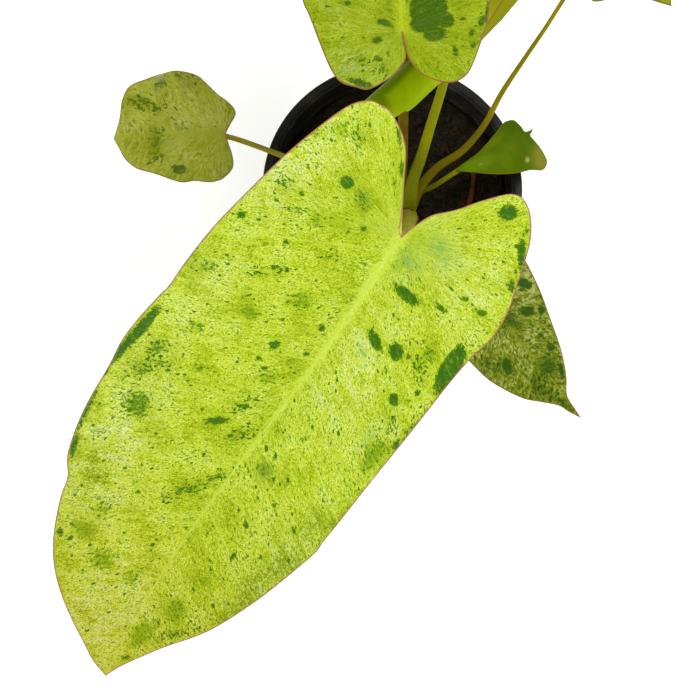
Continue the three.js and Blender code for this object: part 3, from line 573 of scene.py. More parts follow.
def blade_top_material(
    name, vein_gap, shades, green, leaf, dark, blue, pale, rib, edge, grain, bite, pepper, dots,
    tip=(1, 0.96, 0.9),
):
    """The marbled upper face: grainy lime ground, small dots, loose and crisp dark patches, pink margin."""
    paint = Paint(name + "_top")
    plane = paint.vector("plane")
    flow = paint.vector("flow")
    strewn = paint.warp(flow, 3, 2)
    fine = paint.centred(strewn, grain, 2, 0.65)
    small = paint.centred(paint.stretch(strewn, 0.75), 2.2 * grain, 3)
    streak = paint.centred(paint.stretch(flow, 0.3), 3 * grain, 3)
    speck = paint.centred(paint.stretch(strewn, 0.7), 1.15 * grain, 1)
    cloud = paint.centred(plane, 14, 3)
    brush = paint.centred(paint.stretch(paint.warp(flow, 9, 5), 0.14), 3.2, 3)

    # The ground, deeper in zones that are partly painted shade, with a pale wash that is partly painted
    # sheen, a painted bluish sheen and a wash of green
    tone_and_sheen = paint.number("tone_and_sheen")
    light_and_tone = paint.number("light_and_tone")
    tone = paint.sum((fine, bite), (small, 0.7), (streak, 0.4), cloud, (brush, 0.5), (tone_and_sheen, 0.1), 0.52)
    paint.body = paint.ramp(paint.sum(tone, (light_and_tone, -0.08)), shades)
    pale_and_sheen_noise = paint.sum(small, (brush, 0.8), (cloud, 0.4), (fine, 0.8))
    paint.lay(pale, tone_and_sheen, paint.step(pale_and_sheen_noise, -0.08, 0.22))
    sheen_noise = paint.sum((streak, 1.2), (fine, 1.4), (small, 0.8))
    paint.lay(blue, paint.number("blue"), paint.step(sheen_noise, -0.06, 0.14))
    tint = paint.sum((cloud, 0.7), (brush, 0.9), (streak, 0.7), (small, 1.2))
    paint.lay(green, paint.step(tint, 0.15, 0.3), 0.6)

    # Pepper and dots
    peppered = paint.sum(speck, (cloud, 0.35), (small, 0.6), (light_and_tone, 0.02))
    paint.lay(green, paint.step(peppered, 0.06, 0.13), pepper)
    paint.lay(leaf, paint.step(peppered, 0.15, 0.22), 0.85)
    scatter = paint.warp(paint.stretch(flow, 0.75), 1.1, 0.9)
    for spread, radius, share in dots:
        paint.lay(leaf, paint.dots(scatter, spread, radius, share, fine), 0.85)
        paint.lay(dark, paint.dots(scatter, spread, 0.75 * radius, 0.7 * share, fine), 0.8)

    # The midrib and the side veins
    near_rib = paint.number("rib")
    strand = paint.centred(paint.stretch(paint.warp(plane, 4, 1), 0.1, 1.5), 1, 2)
    rib_tone = paint.sum((strand, 0.8), (small, 1.1), (near_rib, 0.35), 0.2)
    rib_mask = paint.step(paint.sum(near_rib, (strand, 0.6), (fine, 1.1), (small, 0.6)), 0.12, 0.95)
    paint.lay(paint.ramp(rib_tone, [shades[2], rib, pale], 0.1, 1), rib_mask, 0.75)
    to_middle = paint.maths("ABSOLUTE", paint.axis(plane, 1))
    to_vein = paint.product(paint.maths("PINGPONG", paint.number("phase"), 0.5), vein_gap)
    to_middle = paint.sum(to_middle, (fine, 0.5))
    to_vein = paint.sum(to_vein, (fine, 1.2), 0.1)
    paint.lay(rib, paint.step(paint.maths("MINIMUM", to_middle, to_vein), 0.5, 0.15), 0.4)

    # Loose patches, then crisp ones
    loose_tone = paint.sum((paint.number("depth"), 0.8), (fine, 1.8), (small, 1.8), 0.08)
    loose = paint.sum(paint.number("loose"), (brush, 4), (streak, 9), (small, 14), (fine, 12))
    loose_ramp = paint.ramp(loose_tone, [shades[1], green, leaf, dark], 0.1, 0.95)
    paint.lay(loose_ramp, paint.step(loose, -0.15, 0.5))
    crisp_tone = paint.sum((fine, 1.7), (streak, 1.5), small, 0.4)
    crisp = paint.sum(paint.number("crisp"), (fine, 2.4), (streak, 2), (small, 3.4))
    crisp_ramp = paint.ramp(crisp_tone, [dark, dark, leaf, green], 0.15, 0.95)
    paint.lay(crisp_ramp, paint.step(crisp, -0.12, 0.16))

    # The tone of the far end, and the margin
    far = paint.step(paint.axis(plane, 0), 4 * vein_gap, 16 * vein_gap)
    paint.body = paint.mix(far, paint.body, tip + (1,), "MULTIPLY")
    wobble = paint.sum(paint.number("edge"), (paint.noise(plane, 4, 2), 0.8))
    paint.lay(edge, paint.step(wobble, 1.1, 0.75))
    paint.bump(paint.sum((fine, 0.5), (streak, 0.6), 0.5), 0.3, 0.0003)
    return paint.finish(paint.sum((small, 0.3), 0.42))


def plain_material(name, shades, shade, edge, tan=None, glint=None):
    """A plain face: soft streaks along the veins, zones of other colours, among them painted shade, painted
    sheen and a painted glint, and a thin coloured margin.
    """
    paint = Paint(name + "_back", 0.5, 0.02)
    plane = paint.vector("plane")
    streak = paint.noise(paint.stretch(paint.vector("flow"), 0.1), 1.5, 3)
    drift = paint.noise(plane, 16, 3)
    grain = paint.noise(plane, 0.8, 2)
    tone = paint.sum((drift, 0.9), (streak, 0.4), (grain, 0.15), (paint.number("vein"), 0.12), -0.25)
    paint.body = paint.ramp(tone, shades, 0.25, 0.75)
    # The first zone is painted shade on the rolled leaf and a lighter zone with painted sheen on the young
    # leaf, the second a tan zone, the third a painted glint
    for field, mark in (("light_and_tone", shade), ("tone_and_sheen", tan), ("blue", glint)):
        if mark is not None:
            zone = paint.sum(paint.number(field), (drift, 0.3), (streak, 0.15))
            paint.lay(mark, paint.step(zone, 0.35, 1.05))
    inset = paint.step(paint.axis(plane, 0), 4, 14)
    paint.lay(edge, paint.step(paint.number("edge"), 0.75, 0.4), inset)
    paint.bump(paint.sum((streak, 0.5), (grain, 0.4)), 0.2, 0.0003)
    return paint.finish()


def unit(vectors):
    return vectors / np.linalg.norm(vectors, axis=-1, keepdims=True)


def arc_travel(angle, rate, distance):
    """Sideways and upward travel along an arc that starts at an angle and turns at a steady rate."""
    straight = np.abs(rate) < 1e-9
    safe = np.where(straight, 1, rate)
    end = angle + safe * distance
    across = np.where(straight, distance * np.cos(angle), (np.sin(end) - np.sin(angle)) / safe)
    rise = np.where(straight, distance * np.sin(angle), (np.cos(angle) - np.cos(end)) / safe)
    return across, rise


class Blade:
    """A blade's middle surface: the midrib bends along its length, each half folds and curls across it."""

    def __init__(self, leaf):
        self.leaf = leaf
        self.reach = np.arange(-BEHIND, math.ceil(leaf["length"]) + PAST + 1, dtype=float)
        share = self.reach / leaf["length"]
        arch = np.sin(math.pi * np.clip(share, 0, 1)) ** 2
        heading = RADIAN * (leaf["heading"] + leaf["bend"] * share + leaf["sway"] * arch)
        slope = leaf["droop"] * np.maximum(share, 0) - leaf["lobe_drop"] * np.maximum(-share, 0)
        pitch = RADIAN * (leaf["pitch"] + slope)
        roll = RADIAN * leaf["roll"]
        flat = np.cos(pitch)
        along = np.stack([flat * np.cos(heading), flat * np.sin(heading), -np.sin(pitch)], 1)
        level = np.stack([-np.sin(heading), np.cos(heading), np.zeros_like(heading)], 1)
        self.side = level * math.cos(roll) + np.cross(along, level) * math.sin(roll)
        self.up = np.cross(along, self.side)
        place = np.concatenate([np.zeros((1, 3)), np.cumsum((along[1:] + along[:-1]) / 2, 0)])
        self.place = place - place[BEHIND] + np.array(leaf["at"], float)

    def points(self, x, y):
        leaf = self.leaf
        place, side, up = (
            np.stack([np.interp(x, self.reach, part[:, i]) for i in range(3)], -1)
            for part in (self.place, self.side, self.up)
        )
        share = np.clip(x / leaf["length"], 0, 1)
        left, right = leaf["curls"]
        base = np.where(y > 0, left[0], right[0])
        tip = np.where(y > 0, left[1], right[1])
        curl = (base + (tip - base) * share) * RADIAN / 10
        first, last = leaf["fold"]
        fold = (first + (last - first) * share) * RADIAN
        fold_width = FOLD_WIDTH if first else SHARP_FOLD_WIDTH
        across = np.abs(y)
        near = arc_travel(np.zeros_like(fold), fold / fold_width, np.minimum(across, fold_width))
        far = arc_travel(fold, curl, np.maximum(across - fold_width, 0))
        height, length = leaf["ripple"]
        wave = height * np.sin(TURN * x / length + np.where(y > 0, 0, 2))
        lift = near[1] + far[1] + wave * (across / (leaf["length"] * RIPPLE_SHARE)) ** 2
        sideways = np.sign(y) * (near[0] + far[0])
        return place + side * sideways[..., None] + up * lift[..., None]

    def normals(self, x, y):
        step = 0.4
        along = self.points(x + step, y) - self.points(x - step, y)
        across = self.points(x, y + step) - self.points(x, y - step)
        return unit(np.cross(along, across))


def lengths_of(line):
    return np.linalg.norm(np.diff(line, axis=0), axis=1)


def curve(points, before, after, slopes):
    """A dense smooth line through points. slopes(a, b, c, d) gives its slopes at b and c."""
    line = np.vstack([before, points, after]).astype(float)
    t = np.linspace(0, 1, 40, endpoint=False)[:, None]
    pieces = []
    for a, b, c, d in zip(line, line[1:], line[2:], line[3:]):
        start, end = slopes(a, b, c, d)
        cube = 2 * b - 2 * c + start + end
        square = 3 * c - 3 * b - 2 * start - end
        pieces.append(cube * t**3 + square * t**2 + start * t + b)
    return np.vstack(pieces + [line[-2:-1]])


def even_slopes(a, b, c, d):
    return (c - a) / 2, (d - b) / 2


def centripetal_slopes(a, b, c, d):
    first, middle, last = (max(np.linalg.norm(q - p) ** 0.5, 1e-4) for p, q in ((a, b), (b, c), (c, d)))
    start = ((b - a) / first - (c - a) / (first + middle) + (c - b) / middle) * middle
    end = ((c - b) / middle - (d - b) / (middle + last) + (d - c) / last) * middle
    return start, end


def margin(leaf, side):
    points = [(leaf["notch"], 0)] + leaf[side] + [(leaf["length"], 0)]
    return curve(points, points[0], points[-1], even_slopes)


def spaced(line, count):
    """Evenly spaced points of a line."""
    lengths = np.append(0, np.cumsum(lengths_of(line)))
    wanted = np.linspace(0, lengths[-1], count + 1)
    return np.stack([np.interp(wanted, lengths, line[:, i]) for i in range(line.shape[1])], 1)


def smooth_path(points, count):
    """A curve through a few points, evenly spaced."""
    given = np.array(points, float)
    line = curve(given, 2 * given[0] - given[1], 2 * given[-1] - given[-2], centripetal_slopes)
    return spaced(line, count)


def distance_to(line, x, y):
    """Distance from each point to the nearest of a line's points."""
    flat = np.stack([x.ravel(), y.ravel()], 1)
    nearest = np.full(len(flat), 1e9)
    for part in np.array_split(line, max(1, len(line) // 60)):
        gap = np.linalg.norm(flat[:, None, :] - part[None, :, :], axis=2).min(1)
        nearest = np.minimum(nearest, gap)
    return nearest.reshape(x.shape)


def oval(x, y, spot):
    """Distance from an oval's middle as a share of its size, 1 on its edge."""
    cx, cy, long, wide, angle = spot[:5]
    cos, sin = math.cos(angle * RADIAN), math.sin(angle * RADIAN)
    along = (x - cx) * cos + (y - cy) * sin
    across = (y - cy) * cos - (x - cx) * sin
    return np.hypot(along / (long / 2), across / (wide / 2))


def mark_fields(leaf, x, y):
    """Millimetres inside the nearest crisp and loose patch, how dark that loose one is, and the zones."""
    fields = {key: np.full_like(x, OUTSIDE) for key in ("crisp", "loose")}
    fields.update({key: np.zeros_like(x) for key in ("depth", "light_and_tone", "tone_and_sheen", "blue")})
    for kind in ("crisp", "loose", "light_and_tone", "tone_and_sheen", "blue"):
        for spot in leaf[kind]:
            ratio = oval(x, y, spot)
            if kind in ("crisp", "loose"):
                value = (1 - ratio) * min(spot[2:4]) / 2
            else:
                value = spot[5] * np.exp(-(ratio**2))
            if kind == "loose":
                fields["depth"] = np.where(value > fields[kind], spot[5], fields["depth"])
            fields[kind] = np.maximum(fields[kind], value)
    return fields


def add_object(name, data):
    made = bpy.data.objects.new(name, data)
    bpy.context.scene.collection.objects.link(made)
    return made


def mesh_object(name, vertices, faces, fields=(), smooth=True):
    """A mesh from vertices in millimetres, with its named fields, welded where rows meet in a point."""
    mesh = bpy.data.meshes.new(name)
    mesh.from_pydata((np.asarray(vertices) * MM).tolist(), [], faces)
    for key, values in dict(fields).items():
        values = np.asarray(values, np.float32).reshape(len(vertices), -1)
        vector = values.shape[1] == 3
        attribute = mesh.attributes.new(key, "FLOAT_VECTOR" if vector else "FLOAT", "POINT")
        attribute.data.foreach_set("vector" if vector else "value", values.ravel())
    shape = bmesh.new()
    shape.from_mesh(mesh)
    bmesh.ops.remove_doubles(shape, verts=shape.verts, dist=1e-6)
    bmesh.ops.dissolve_degenerate(shape, dist=1e-7, edges=shape.edges)
    shape.to_mesh(mesh)
    shape.free()
    mesh.polygons.foreach_set("use_smooth", [smooth] * len(mesh.polygons))
    mesh.update()
    return add_object(name, mesh)


def place_piece(piece, node, slot, *materials):
    for material in materials:
        piece.data.materials.append(material)
    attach(piece, "root")
    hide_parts(node)


def blade_materials(name, leaf):
    if "look" not in leaf:
        return plain_material(name + "_inner", *leaf["inner"]), plain_material(name, *leaf["outer"])
    look = leaf["look"]
    top = blade_top_material(name, 1.15 * leaf["length"] / leaf["side_veins"], **look)
    return top, plain_material(name, look["shades"][1:4], look["green"], look["edge"])


def blade_piece(name, leaf):
    left = margin(leaf, "left")
    right = margin(leaf, "right")
    longest = max(lengths_of(left).sum(), lengths_of(right).sum())
    rows = int(longest / GRID_STEP)
    columns = int(max(np.abs(left[:, 1]).max(), np.abs(right[:, 1]).max()) / GRID_STEP)
    left_edge = spaced(left, rows)
    right_edge = spaced(right, rows)
    lean = VEIN_LEAN * (np.abs(left_edge[:, 1]) + np.abs(right_edge[:, 1]))
    station = (left_edge[:, 0] + right_edge[:, 0] - lean) / 2
    station = np.clip(station, max(leaf["notch"], 0), leaf["length"])[:, None]

    share = np.linspace(-1, 1, 2 * columns + 1)
    reach = np.abs(share) ** GRID_CROWDING
    edge = np.where((share > 0)[None, :, None], left_edge[:, None, :], right_edge[:, None, :])
    x = station + (edge[..., 0] - station) * reach
    y = edge[..., 1] * reach
    margin_gap = distance_to(np.vstack([left_edge, right_edge]), x, y)

    # Side veins lie along the rows, at even steps of the margin
    along = np.linspace(0, 1, rows + 1)[:, None]
    phase = along * leaf["side_veins"] + VEIN_OFFSET * np.sign(share)
    spacing = (longest / leaf["side_veins"]) * (0.35 + 0.65 * reach)
    from_vein = np.abs(phase - np.round(phase)) * spacing
    fade = np.clip(margin_gap / VEIN_FADE, 0, 1) * (1 - 0.7 * reach)
    vein = np.exp(-((from_vein / VEIN_WIDTH) ** 2)) * fade
    relief = min(1, leaf["length"] / FULL_LENGTH) ** 1.5
    puff = PUFF * np.cos(TURN * phase) * fade
    tip_fade = 1 - np.clip(x, 0, None) / leaf["length"]
    midrib = np.exp(-((y / RIB_WIDTH) ** 2)) * tip_fade
    groove = np.exp(-((y / GROOVE_WIDTH) ** 2)) * (0.25 + 0.75 * tip_fade) * np.clip(margin_gap / 4, 0, 1)

    surface = Blade(leaf)
    middle = surface.points(x, y)
    normal = surface.normals(x, y)
    half = EDGE_HALF + (BLADE_HALF - EDGE_HALF) * np.clip(margin_gap / EDGE_TAPER, 0, 1)
    top_lift = half - relief * (VEIN_DENT * vein + puff + GROOVE_DEPTH * groove)
    back_lift = -half - relief * (VEIN_RIDGE * vein + puff) - RIB_DEPTH * midrib
    points = np.stack([middle + normal * lift[..., None] for lift in (top_lift, back_lift)]).reshape(-1, 3)

    index = np.arange(x.size).reshape(x.shape)
    a, b, c, d = index[:-1, :-1], index[1:, :-1], index[1:, 1:], index[:-1, 1:]
    top_faces = np.stack([a, b, c, d], -1).reshape(-1, 4)
    back_faces = np.stack([a, d, c, b], -1).reshape(-1, 4) + x.size
    walls = [
        np.stack([line[:-1], line[1:], line[1:] + x.size, line[:-1] + x.size], -1)
        for line in (index[:, -1], index[:, 0])
    ]
    faces = np.vstack([top_faces, back_faces, walls[0], walls[1][:, ::-1]])

    side = np.sign(share + 1e-9)
    flat = np.zeros_like(x)
    rib_width = 1 + 2.4 * tip_fade**1.5
    near_rib = np.exp(-((y / rib_width) ** 2)) * (0.35 + 0.65 * tip_fade) * np.clip(1 + x / 6, 0, 1)
    fields = {
        "plane": np.stack([x, y, flat], -1),
        "flow": np.stack([np.hypot(x - station, y), along * longest * side, flat], -1),
        "edge": margin_gap,
        "vein": vein,
        "phase": phase,
        "rib": near_rib,
        **mark_fields(leaf, x, y),
    }
    fields = {key: np.concatenate([values.reshape(x.size, -1)] * 2) for key, values in fields.items()}
    piece = mesh_object(name + "_blade_skin", points, faces.tolist(), fields)
    place_piece(piece, name + "_blade", name + "_blade", *blade_materials(name, leaf))
    paint_back(piece, surface)


def read(items, key, width=1, kind=np.float32):
    values = np.zeros(width * len(items), kind)
    items.foreach_get(key, values)
    return values if width == 1 else values.reshape(-1, width)


def paint_back(piece, surface):
    """Gives the second material to the faces that look against the upper side's normal."""
    mesh = piece.data
    normals = read(mesh.polygons, "normal", 3)
    corner = read(mesh.loops, "vertex_index", kind=np.int32)
    first = read(mesh.polygons, "loop_start", kind=np.int32)
    at = read(mesh.attributes["plane"].data, "vector", 3)[corner[first]]
    facing = (surface.normals(at[:, 0], at[:, 1]) * normals).sum(1)
    mesh.polygons.foreach_set("material_index", (facing < UNDER_FACING).astype(np.int32))
    mesh.update()


def tube_piece(name, path, radius_at, sides, section=np.ones_like):
    """A tube along a path. section(angle) shapes it, with angle 0 on the side that faces up."""
    tangent = unit(np.gradient(path, axis=0))
    upward = unit(np.array([0, 0, 1.0]) - tangent * tangent[:, 2:3])
    sideways = np.cross(tangent, upward)
    rows = len(path)
    share = np.linspace(0, 1, rows)[:, None]
    angle = np.linspace(0, TURN, sides, endpoint=False)
    radius = radius_at(share) * section(angle)
    around = np.cos(angle)[:, None] * upward[:, None] + np.sin(angle)[:, None] * sideways[:, None]
    points = np.vstack([(path[:, None] + around * radius[..., None]).reshape(-1, 3), path[:1], path[-1:]])
    index = np.arange(rows * sides).reshape(rows, sides)
    after = np.roll(index, -1, axis=1)
    faces = np.stack([index[:-1], after[:-1], after[1:], index[1:]], -1).reshape(-1, 4).tolist()
    for low, low_after, high, high_after in zip(index[0], after[0], index[-1], after[-1]):
        faces += [[index.size, low_after, low], [index.size + 1, high, high_after]]
    length = lengths_of(path).sum()
    strand = np.stack(np.broadcast_arrays(share * length, angle, 0.0), -1).reshape(-1, 3)
    fields = {
        "strand": np.vstack([strand, [[0, 0, 0], [length, 0, 0]]]),
        "wing": np.append(np.tile(np.abs(np.sin(angle)) ** 6, rows), [0, 0]),
    }
    return mesh_object(name, points, faces, fields)


def petiole_section(angle):
    """Round below and flattened above, with a low ridge along each upper edge."""
    upper = np.maximum(np.cos(angle), 0)
    from_top = np.abs(np.angle(np.exp(1j * angle)))
    ridge = np.exp(-(((from_top - RIDGE_ANGLE) / RIDGE_SPREAD) ** 2))
    return 1 - PETIOLE_FLATTENING * upper**2 + RIDGE_HEIGHT * ridge


def petiole_material(name, shade, light, rim, base, foot_length):
    """Fine lengthwise strands, lighter ridges and a brownish foot."""
    paint = Paint(name, 0.45, 0.05)
    strand = paint.vector("strand")
    fibres = paint.noise(paint.stretch(strand, 0.08, 2.4), 0.55, 2)
    drift = paint.noise(paint.stretch(strand, 0.5), 6, 2)
    paint.body = colour(shade)
    paint.lay(light, paint.step(paint.sum((fibres, 0.5), (drift, 0.5)), 0.36, 0.64))
    paint.lay(rim, paint.step(paint.number("wing"), 0.35, 1), 0.55)
    foot = paint.sum(paint.axis(strand, 0), (paint.noise(strand, 1.2, 2), 10), -5)
    paint.lay(base, paint.step(foot, foot_length + 8, foot_length - 8), 0.75)
    paint.bump(fibres, 0.3, 0.0004)
    return paint.finish()


def petiole_piece(name, leaf):
    surface = Blade(leaf)
    at = (np.array([PETIOLE_REACH]), np.array([0.0]))
    end = surface.points(*at)[0] - surface.normals(*at)[0] * (BLADE_HALF + PETIOLE_SINK)
    path = smooth_path(leaf["petiole"] + [tuple(end)], PETIOLE_POINTS)
    base, top = leaf["radii"]
    piece = tube_piece(
        name + "_petiole_skin", path, lambda share: top + (base - top) * (1 - share) ** 2.5,
        PETIOLE_SIDES, petiole_section,
    )
    node = name + "_petiole"
    place_piece(piece, node, node, petiole_material(node, *leaf["petiole_look"]))


def lathe_piece(name, profile, sides, relief=None):
    """A closed profile of (radius, height) turned round the Z axis."""
    ring = np.array(profile, float)
    angle = np.linspace(0, TURN, sides, endpoint=False)[:, None]
    radius, height = (np.broadcast_to(ring[:, i], (sides, len(ring))) for i in range(2))
    if relief is not None:
        radius = radius + relief(angle, height) * (radius > 0.01)
    points = np.stack([radius * np.cos(angle), radius * np.sin(angle), height], -1)
    index = np.arange(radius.size).reshape(radius.shape)
    after = np.roll(index, -1, axis=0)
    faces = np.stack([after[:, :-1], after[:, 1:], index[:, 1:], index[:, :-1]], -1).reshape(-1, 4)
    return mesh_object(name, points.reshape(-1, 3), faces.tolist())


def rounded(profile, radius, steps=4):
    """A profile with each inner corner rounded by an arc of about a radius."""
    given = np.array(profile, float)
    line = [given[0]]
    for before, corner, after in zip(given, given[1:], given[2:]):
        ends = []
        for side in (before, after):
            gap = np.linalg.norm(side - corner)
            ends.append(corner + (side - corner) / max(gap, 1e-6) * min(radius, gap * 0.45))
        for t in np.linspace(0, 1, steps + 1):
            line.append(ends[0] * (1 - t) ** 2 + 2 * corner * t * (1 - t) + ends[1] * t**2)
    return line + [given[-1]]


def inner_radius_at(height):
    wall = COLLAR_RADIUS - COLLAR_STEP
    return POT_BASE_RADIUS - POT_WALL + (wall - POT_BASE_RADIUS) * height / SHOULDER


def pot_material():
    """Black moulded plastic: satin, faint rings from the mould, dust and fine scuffs."""
    paint = Paint("pot_plastic", 0.4)
    place = paint.place()
    dust = paint.noise(place, 0.012, 4)
    grain = paint.noise(place, 0.0006, 2)
    scuff = paint.noise(paint.stretch(place, 1, 1, 6), 0.004, 3)
    paint.body = colour((47, 46, 43))
    paint.lay((68, 65, 60), paint.step(dust, 0.42, 0.75))
    paint.lay((92, 87, 80), paint.step(scuff, 0.62, 0.72), 0.35)
    mould = paint.maths("SINE", paint.product(paint.axis(place, 2), 2400))
    paint.bump(paint.sum((grain, 0.8), (mould, 0.08)), 0.12, 0.0003)
    return paint.finish(paint.sum((dust, 0.25), (grain, 0.1), 0.26))


def pot_piece():
    rim, base, collar = POT_RIM_RADIUS, POT_BASE_RADIUS, COLLAR_RADIUS
    under_lip = POT_HEIGHT - LIP_DROP
    profile = [
        (0, FOOT_HEIGHT), (base - FOOT_WIDTH - 1, FOOT_HEIGHT), (base - FOOT_WIDTH, 0), (base - 1.5, 0),
        (base, 1.5), (inner_radius_at(SHOULDER) + POT_WALL, SHOULDER), (collar, SHOULDER + COLLAR_STEP),
        (collar, under_lip - 0.8), (rim - 0.8, under_lip - 0.8), (rim, under_lip), (rim, POT_HEIGHT - 0.7),
        (rim - 0.7, POT_HEIGHT), (collar + 0.2, POT_HEIGHT), (collar - 0.5, POT_HEIGHT - 1.4),
        (collar - 1.1, POT_HEIGHT - 1.4), (collar - POT_WALL, POT_HEIGHT - 2.6),
        (collar - POT_WALL, SHOULDER + COLLAR_STEP), (inner_radius_at(SHOULDER), SHOULDER),
        (inner_radius_at(POT_FLOOR), POT_FLOOR), (0, POT_FLOOR),
    ]
    piece = lathe_piece("nursery_pot", rounded(profile, POT_ROUNDING), POT_SIDES)
    cutters = bmesh.new()
    for i in range(DRAIN_HOLES):
        turn = TURN * (i + 0.5) / DRAIN_HOLES
        outward = Vector((math.cos(turn), math.sin(turn), 0))
        drill = bmesh.ops.create_cone(
            cutters, cap_ends=True, segments=DRAIN_SIDES,
            radius1=DRAIN_RADIUS * MM, radius2=DRAIN_RADIUS * MM, depth=DRAIN_DEPTH * MM,
        )["verts"]
        bmesh.ops.rotate(cutters, verts=drill, matrix=outward.to_track_quat("Z", "Y").to_matrix())
        middle = outward * (base - 2) * MM + Vector((0, 0, (DRAIN_RADIUS + FOOT_HEIGHT) * MM))
        bmesh.ops.translate(cutters, verts=drill, vec=middle)
    cutter_mesh = bpy.data.meshes.new("drain_cutter")
    cutters.to_mesh(cutter_mesh)
    cutters.free()
    cutter = add_object("drain_cutter", cutter_mesh)
    cut = piece.modifiers.new("drain_holes", "BOOLEAN")
    cut.operation = "DIFFERENCE"
    cut.solver = "EXACT"
    cut.object = cutter
    bpy.context.view_layer.update()
    drilled = bpy.data.meshes.new_from_object(piece.evaluated_get(bpy.context.evaluated_depsgraph_get()))
    piece.modifiers.clear()
    piece.data = drilled
    bpy.data.objects.remove(cutter)
    place_piece(piece, "pot", "pot", pot_material())


def soil_height(x, y):
    lumps = np.sin(0.31 * x + 1.1) * np.cos(0.27 * y - 0.4) + 0.5 * np.sin(0.55 * x - 0.49 * y)
    mound = 3 * np.exp(-(((x - STEM_X) ** 2 + (y - STEM_Y) ** 2) / 500))
    return SOIL_LEVEL + SOIL_RELIEF * lumps + mound


def soil_material():
    paint = Paint("soil", 0.9)
    place = paint.place()
    fibre = paint.noise(paint.warp(place, 0.004, 0.006), 0.0016, 4)
    paint.body = colour((42, 40, 33))
    paint.lay((58, 52, 43), paint.step(fibre, 0.4, 0.7))
    paint.lay((44, 35, 27), paint.step(paint.noise(place, 0.012, 3), 0.5, 0.7), 0.5)
    bark = paint.mix(paint.step(fibre, 0.35, 0.65), colour((42, 32, 24)), colour((78, 52, 35)))
    paint.lay(bark, paint.number("tint"))
    paint.bump(fibre, 0.7, 0.0012)
    return paint.finish()


def crumb(random, form, size):
    """One crumb's points: the form, made lumpy, stretched and turned at random."""
    scale = size * np.array([random.uniform(0.8, 1.8), random.uniform(0.5, 1), random.uniform(0.3, 0.7)])
    lumps = form * (1 + random.uniform(-0.3, 0.3, (len(form), 1)))
    spin = random.normal(size=(3, 3))
    spin[2] = (random.uniform(-0.4, 0.4), random.uniform(-0.4, 0.4), 1)
    basis = np.linalg.qr(spin[::-1].T)[0]
    return (lumps * scale) @ np.stack([basis[:, 1], basis[:, 2], basis[:, 0]])


def soil_piece():
    """The lumpy top of the mix, its tapered body in the pot, and bark and peat crumbs strewn over it."""
    random = np.random.default_rng(SOIL_SEED)
    rim = inner_radius_at(SHOULDER) - SOIL_GAP
    ring = np.linspace(0, 1, SOIL_RINGS + 1)[:, None] * rim
    angle = np.linspace(0, TURN, SOIL_SIDES, endpoint=False)
    x = ring * np.cos(angle)
    y = ring * np.sin(angle)
    z = soil_height(x, y)
    for _ in range(SOIL_LUMPS):
        cx, cy = random.uniform(-rim, rim, 2)
        size = random.uniform(*LUMP_SIZES)
        z = z + random.uniform(*LUMP_HEIGHTS) * np.exp(-((x - cx) ** 2 + (y - cy) ** 2) / size**2)
    z[-1] = SHOULDER + 0.6
    low = inner_radius_at(SOIL_FLOOR) - SOIL_GAP
    low_ring = np.stack([low * np.cos(angle), low * np.sin(angle), np.full(SOIL_SIDES, SOIL_FLOOR)], -1)
    points = [np.stack([x, y, z], -1).reshape(-1, 3), low_ring, [[0, 0, SOIL_FLOOR]]]
    index = np.arange(x.size + SOIL_SIDES).reshape(-1, SOIL_SIDES)
    after = np.roll(index, -1, axis=1)
    faces = np.stack([index[:-1], index[1:], after[1:], after[:-1]], -1).reshape(-1, 4).tolist()
    faces += [[index.size, after_corner, corner] for corner, after_corner in zip(index[-1], after[-1])]
    tints = [np.zeros(index.size + 1)]

    chip = bmesh.new()
    bmesh.ops.create_icosphere(chip, subdivisions=1, radius=1)
    chip_points = np.array([corner.co for corner in chip.verts])
    chip_faces = np.array([[corner.index for corner in face.verts] for face in chip.faces])
    chip.free()
    crumbs = []
    for count, inset, sizes, shades in CRUMBS:
        for _ in range(count):
            distance = random.uniform(0, 1) ** 0.5 * (rim - inset)
            turn = random.uniform(0, TURN)
            size = random.uniform(*sizes)
            tint = random.uniform(*shades) if shades else 0
            crumbs.append((distance * math.cos(turn), distance * math.sin(turn), size, tint))
    start = index.size + 1
    for cx, cy, size, tint in crumbs + BARK_PIECES:
        if math.hypot(cx - STEM_X, cy - STEM_Y) < STEM_RADIUS + 1.5:
            continue
        lowest = soil_height(cx, cy) + 0.3 * size
        points.append(crumb(random, chip_points, size) + np.array([cx, cy, lowest]))
        faces += (chip_faces + start).tolist()
        tints.append(np.full(len(chip_points), tint))
        start += len(chip_points)
    fields = {"tint": np.concatenate(tints)}
    piece = mesh_object("potting_mix", np.vstack(points), faces, fields, smooth=False)
    place_piece(piece, "soil", "soil", soil_material())


def stem_piece():
    """A short upright stem with the rings that fallen leaves left."""
    paint = Paint("stem_bark", 0.5)
    place = paint.place()
    mottle = paint.noise(paint.warp(place, 0.003, 0.004), 0.0018, 4)
    paint.body = colour((92, 64, 24))
    paint.lay((152, 128, 54), paint.step(mottle, 0.36, 0.66))
    paint.lay((96, 66, 36), paint.step(paint.axis(place, 2), 0.092, 0.082))
    paint.bump(mottle, 0.7, 0.0012)
    profile = [(0, STEM_FOOT)]
    for share in np.linspace(0, 1, STEM_SCARS * STEPS_PER_SCAR + 1):
        scar = SCAR_RELIEF * (0.5 - abs(math.sin(math.pi * share * STEM_SCARS))) * 1.4
        taper = STEM_RADIUS * math.sqrt(1 - 0.92 * share**6)
        profile.append((taper + scar, STEM_FOOT + (STEM_TOP - 2 - STEM_FOOT) * share))
    profile.append((0, STEM_TOP))

    def knots(angle, height):
        broad = 0.3 * np.sin(3 * angle + 0.3 * height) + 0.35 * np.sin(5 * angle - 0.6 * height)
        return broad + 0.2 * np.sin(11 * angle + 1.3 * height) - 0.3

    piece = lathe_piece("leaf_stem", profile, STEM_SIDES, knots)
    piece.data.transform(Matrix.Translation((STEM_X * MM, STEM_Y * MM, 0)))
    place_piece(piece, "stem", "stem", paint.finish())


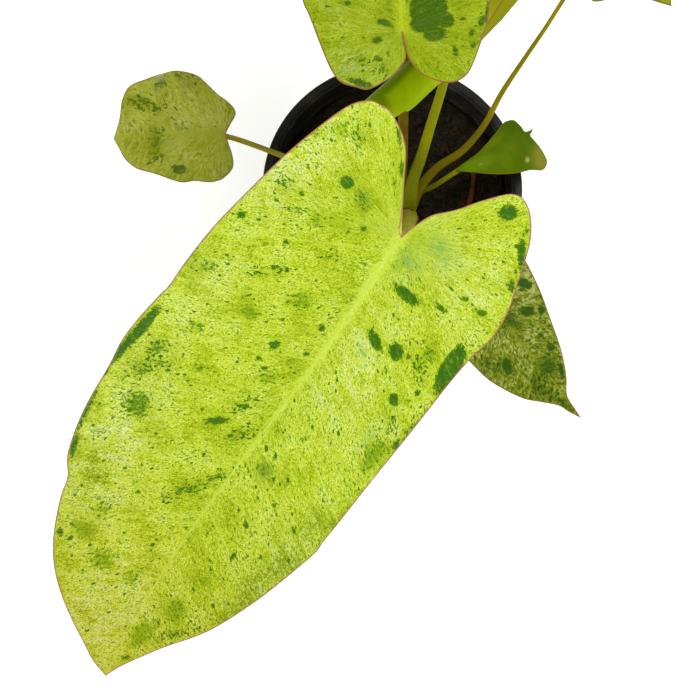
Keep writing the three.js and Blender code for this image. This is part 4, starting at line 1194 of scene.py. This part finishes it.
def root_piece():
    paint = Paint("root_skin", 0.6)
    fibres = paint.noise(paint.stretch(paint.vector("strand"), 0.4, 1.5), 1, 3)
    paint.body = colour((84, 46, 24))
    paint.lay((124, 72, 42), paint.step(fibres, 0.38, 0.64))
    paint.bump(fibres, 0.5, 0.0004)

    def wobble(share):
        return ROOT_RADIUS * (1 + 0.08 * np.sin(23 * share) + 0.05 * np.sin(61 * share))

    piece = tube_piece("arching_root", smooth_path(ROOT_PATH, ROOT_POINTS), wobble, ROOT_SIDES)
    place_piece(piece, "surface_root", "root", paint.finish())


def build_camera():
    camera = add_object("camera", bpy.data.cameras.new("camera"))
    camera.location = Vector(CAMERA_PLACE) * MM
    camera.rotation_euler = (CAMERA_TILT * RADIAN, 0, 0)
    camera.data.lens = CAMERA_LENS
    camera.data.sensor_width = CAMERA_SENSOR
    camera.data.clip_start = 0.01
    bpy.context.scene.camera = camera


def build_studio():
    bpy.context.scene.view_settings.view_transform = "Standard"
    world = bpy.data.worlds.new("studio")
    world.use_nodes = True
    world.node_tree.nodes["Background"].inputs["Color"].default_value = (1, 1, 1, 1)
    world.node_tree.nodes["Background"].inputs["Strength"].default_value = ROOM_LIGHT
    bpy.context.scene.world = world
    for name, (place, size, power) in LAMPS.items():
        data = bpy.data.lights.new(name, "AREA")
        data.size = size
        data.energy = power
        lamp = add_object(name, data)
        lamp.location = place
        lamp.rotation_euler = (Vector(LAMP_TARGET) - Vector(place)).to_track_quat("-Z", "Y").to_euler()

    paint = Paint("floor_card", 0.8)
    speck = paint.noise(paint.place(), 0.01, 2)
    paint.body = paint.mix(speck, (0.93, 0.93, 0.93, 1), (0.95, 0.95, 0.95, 1))
    paint.shader.inputs["Emission Color"].default_value = (1, 1, 1, 1)
    paint.shader.inputs["Emission Strength"].default_value = FLOOR_GLOW
    mesh = bpy.data.meshes.new("floor")
    corners = [(x * FLOOR_REACH, y * FLOOR_REACH, 0) for x, y in ((-1, -1), (1, -1), (1, 1), (-1, 1))]
    mesh.from_pydata(corners, [], [(0, 1, 2, 3)])
    mesh.materials.append(paint.finish())
    add_object("floor", mesh)


build_camera()
build_studio()
pot_piece()
soil_piece()
stem_piece()
root_piece()
for leaf_name, leaf_values in LEAVES.items():
    petiole_piece(leaf_name, leaf_values)
    blade_piece(leaf_name, leaf_values)
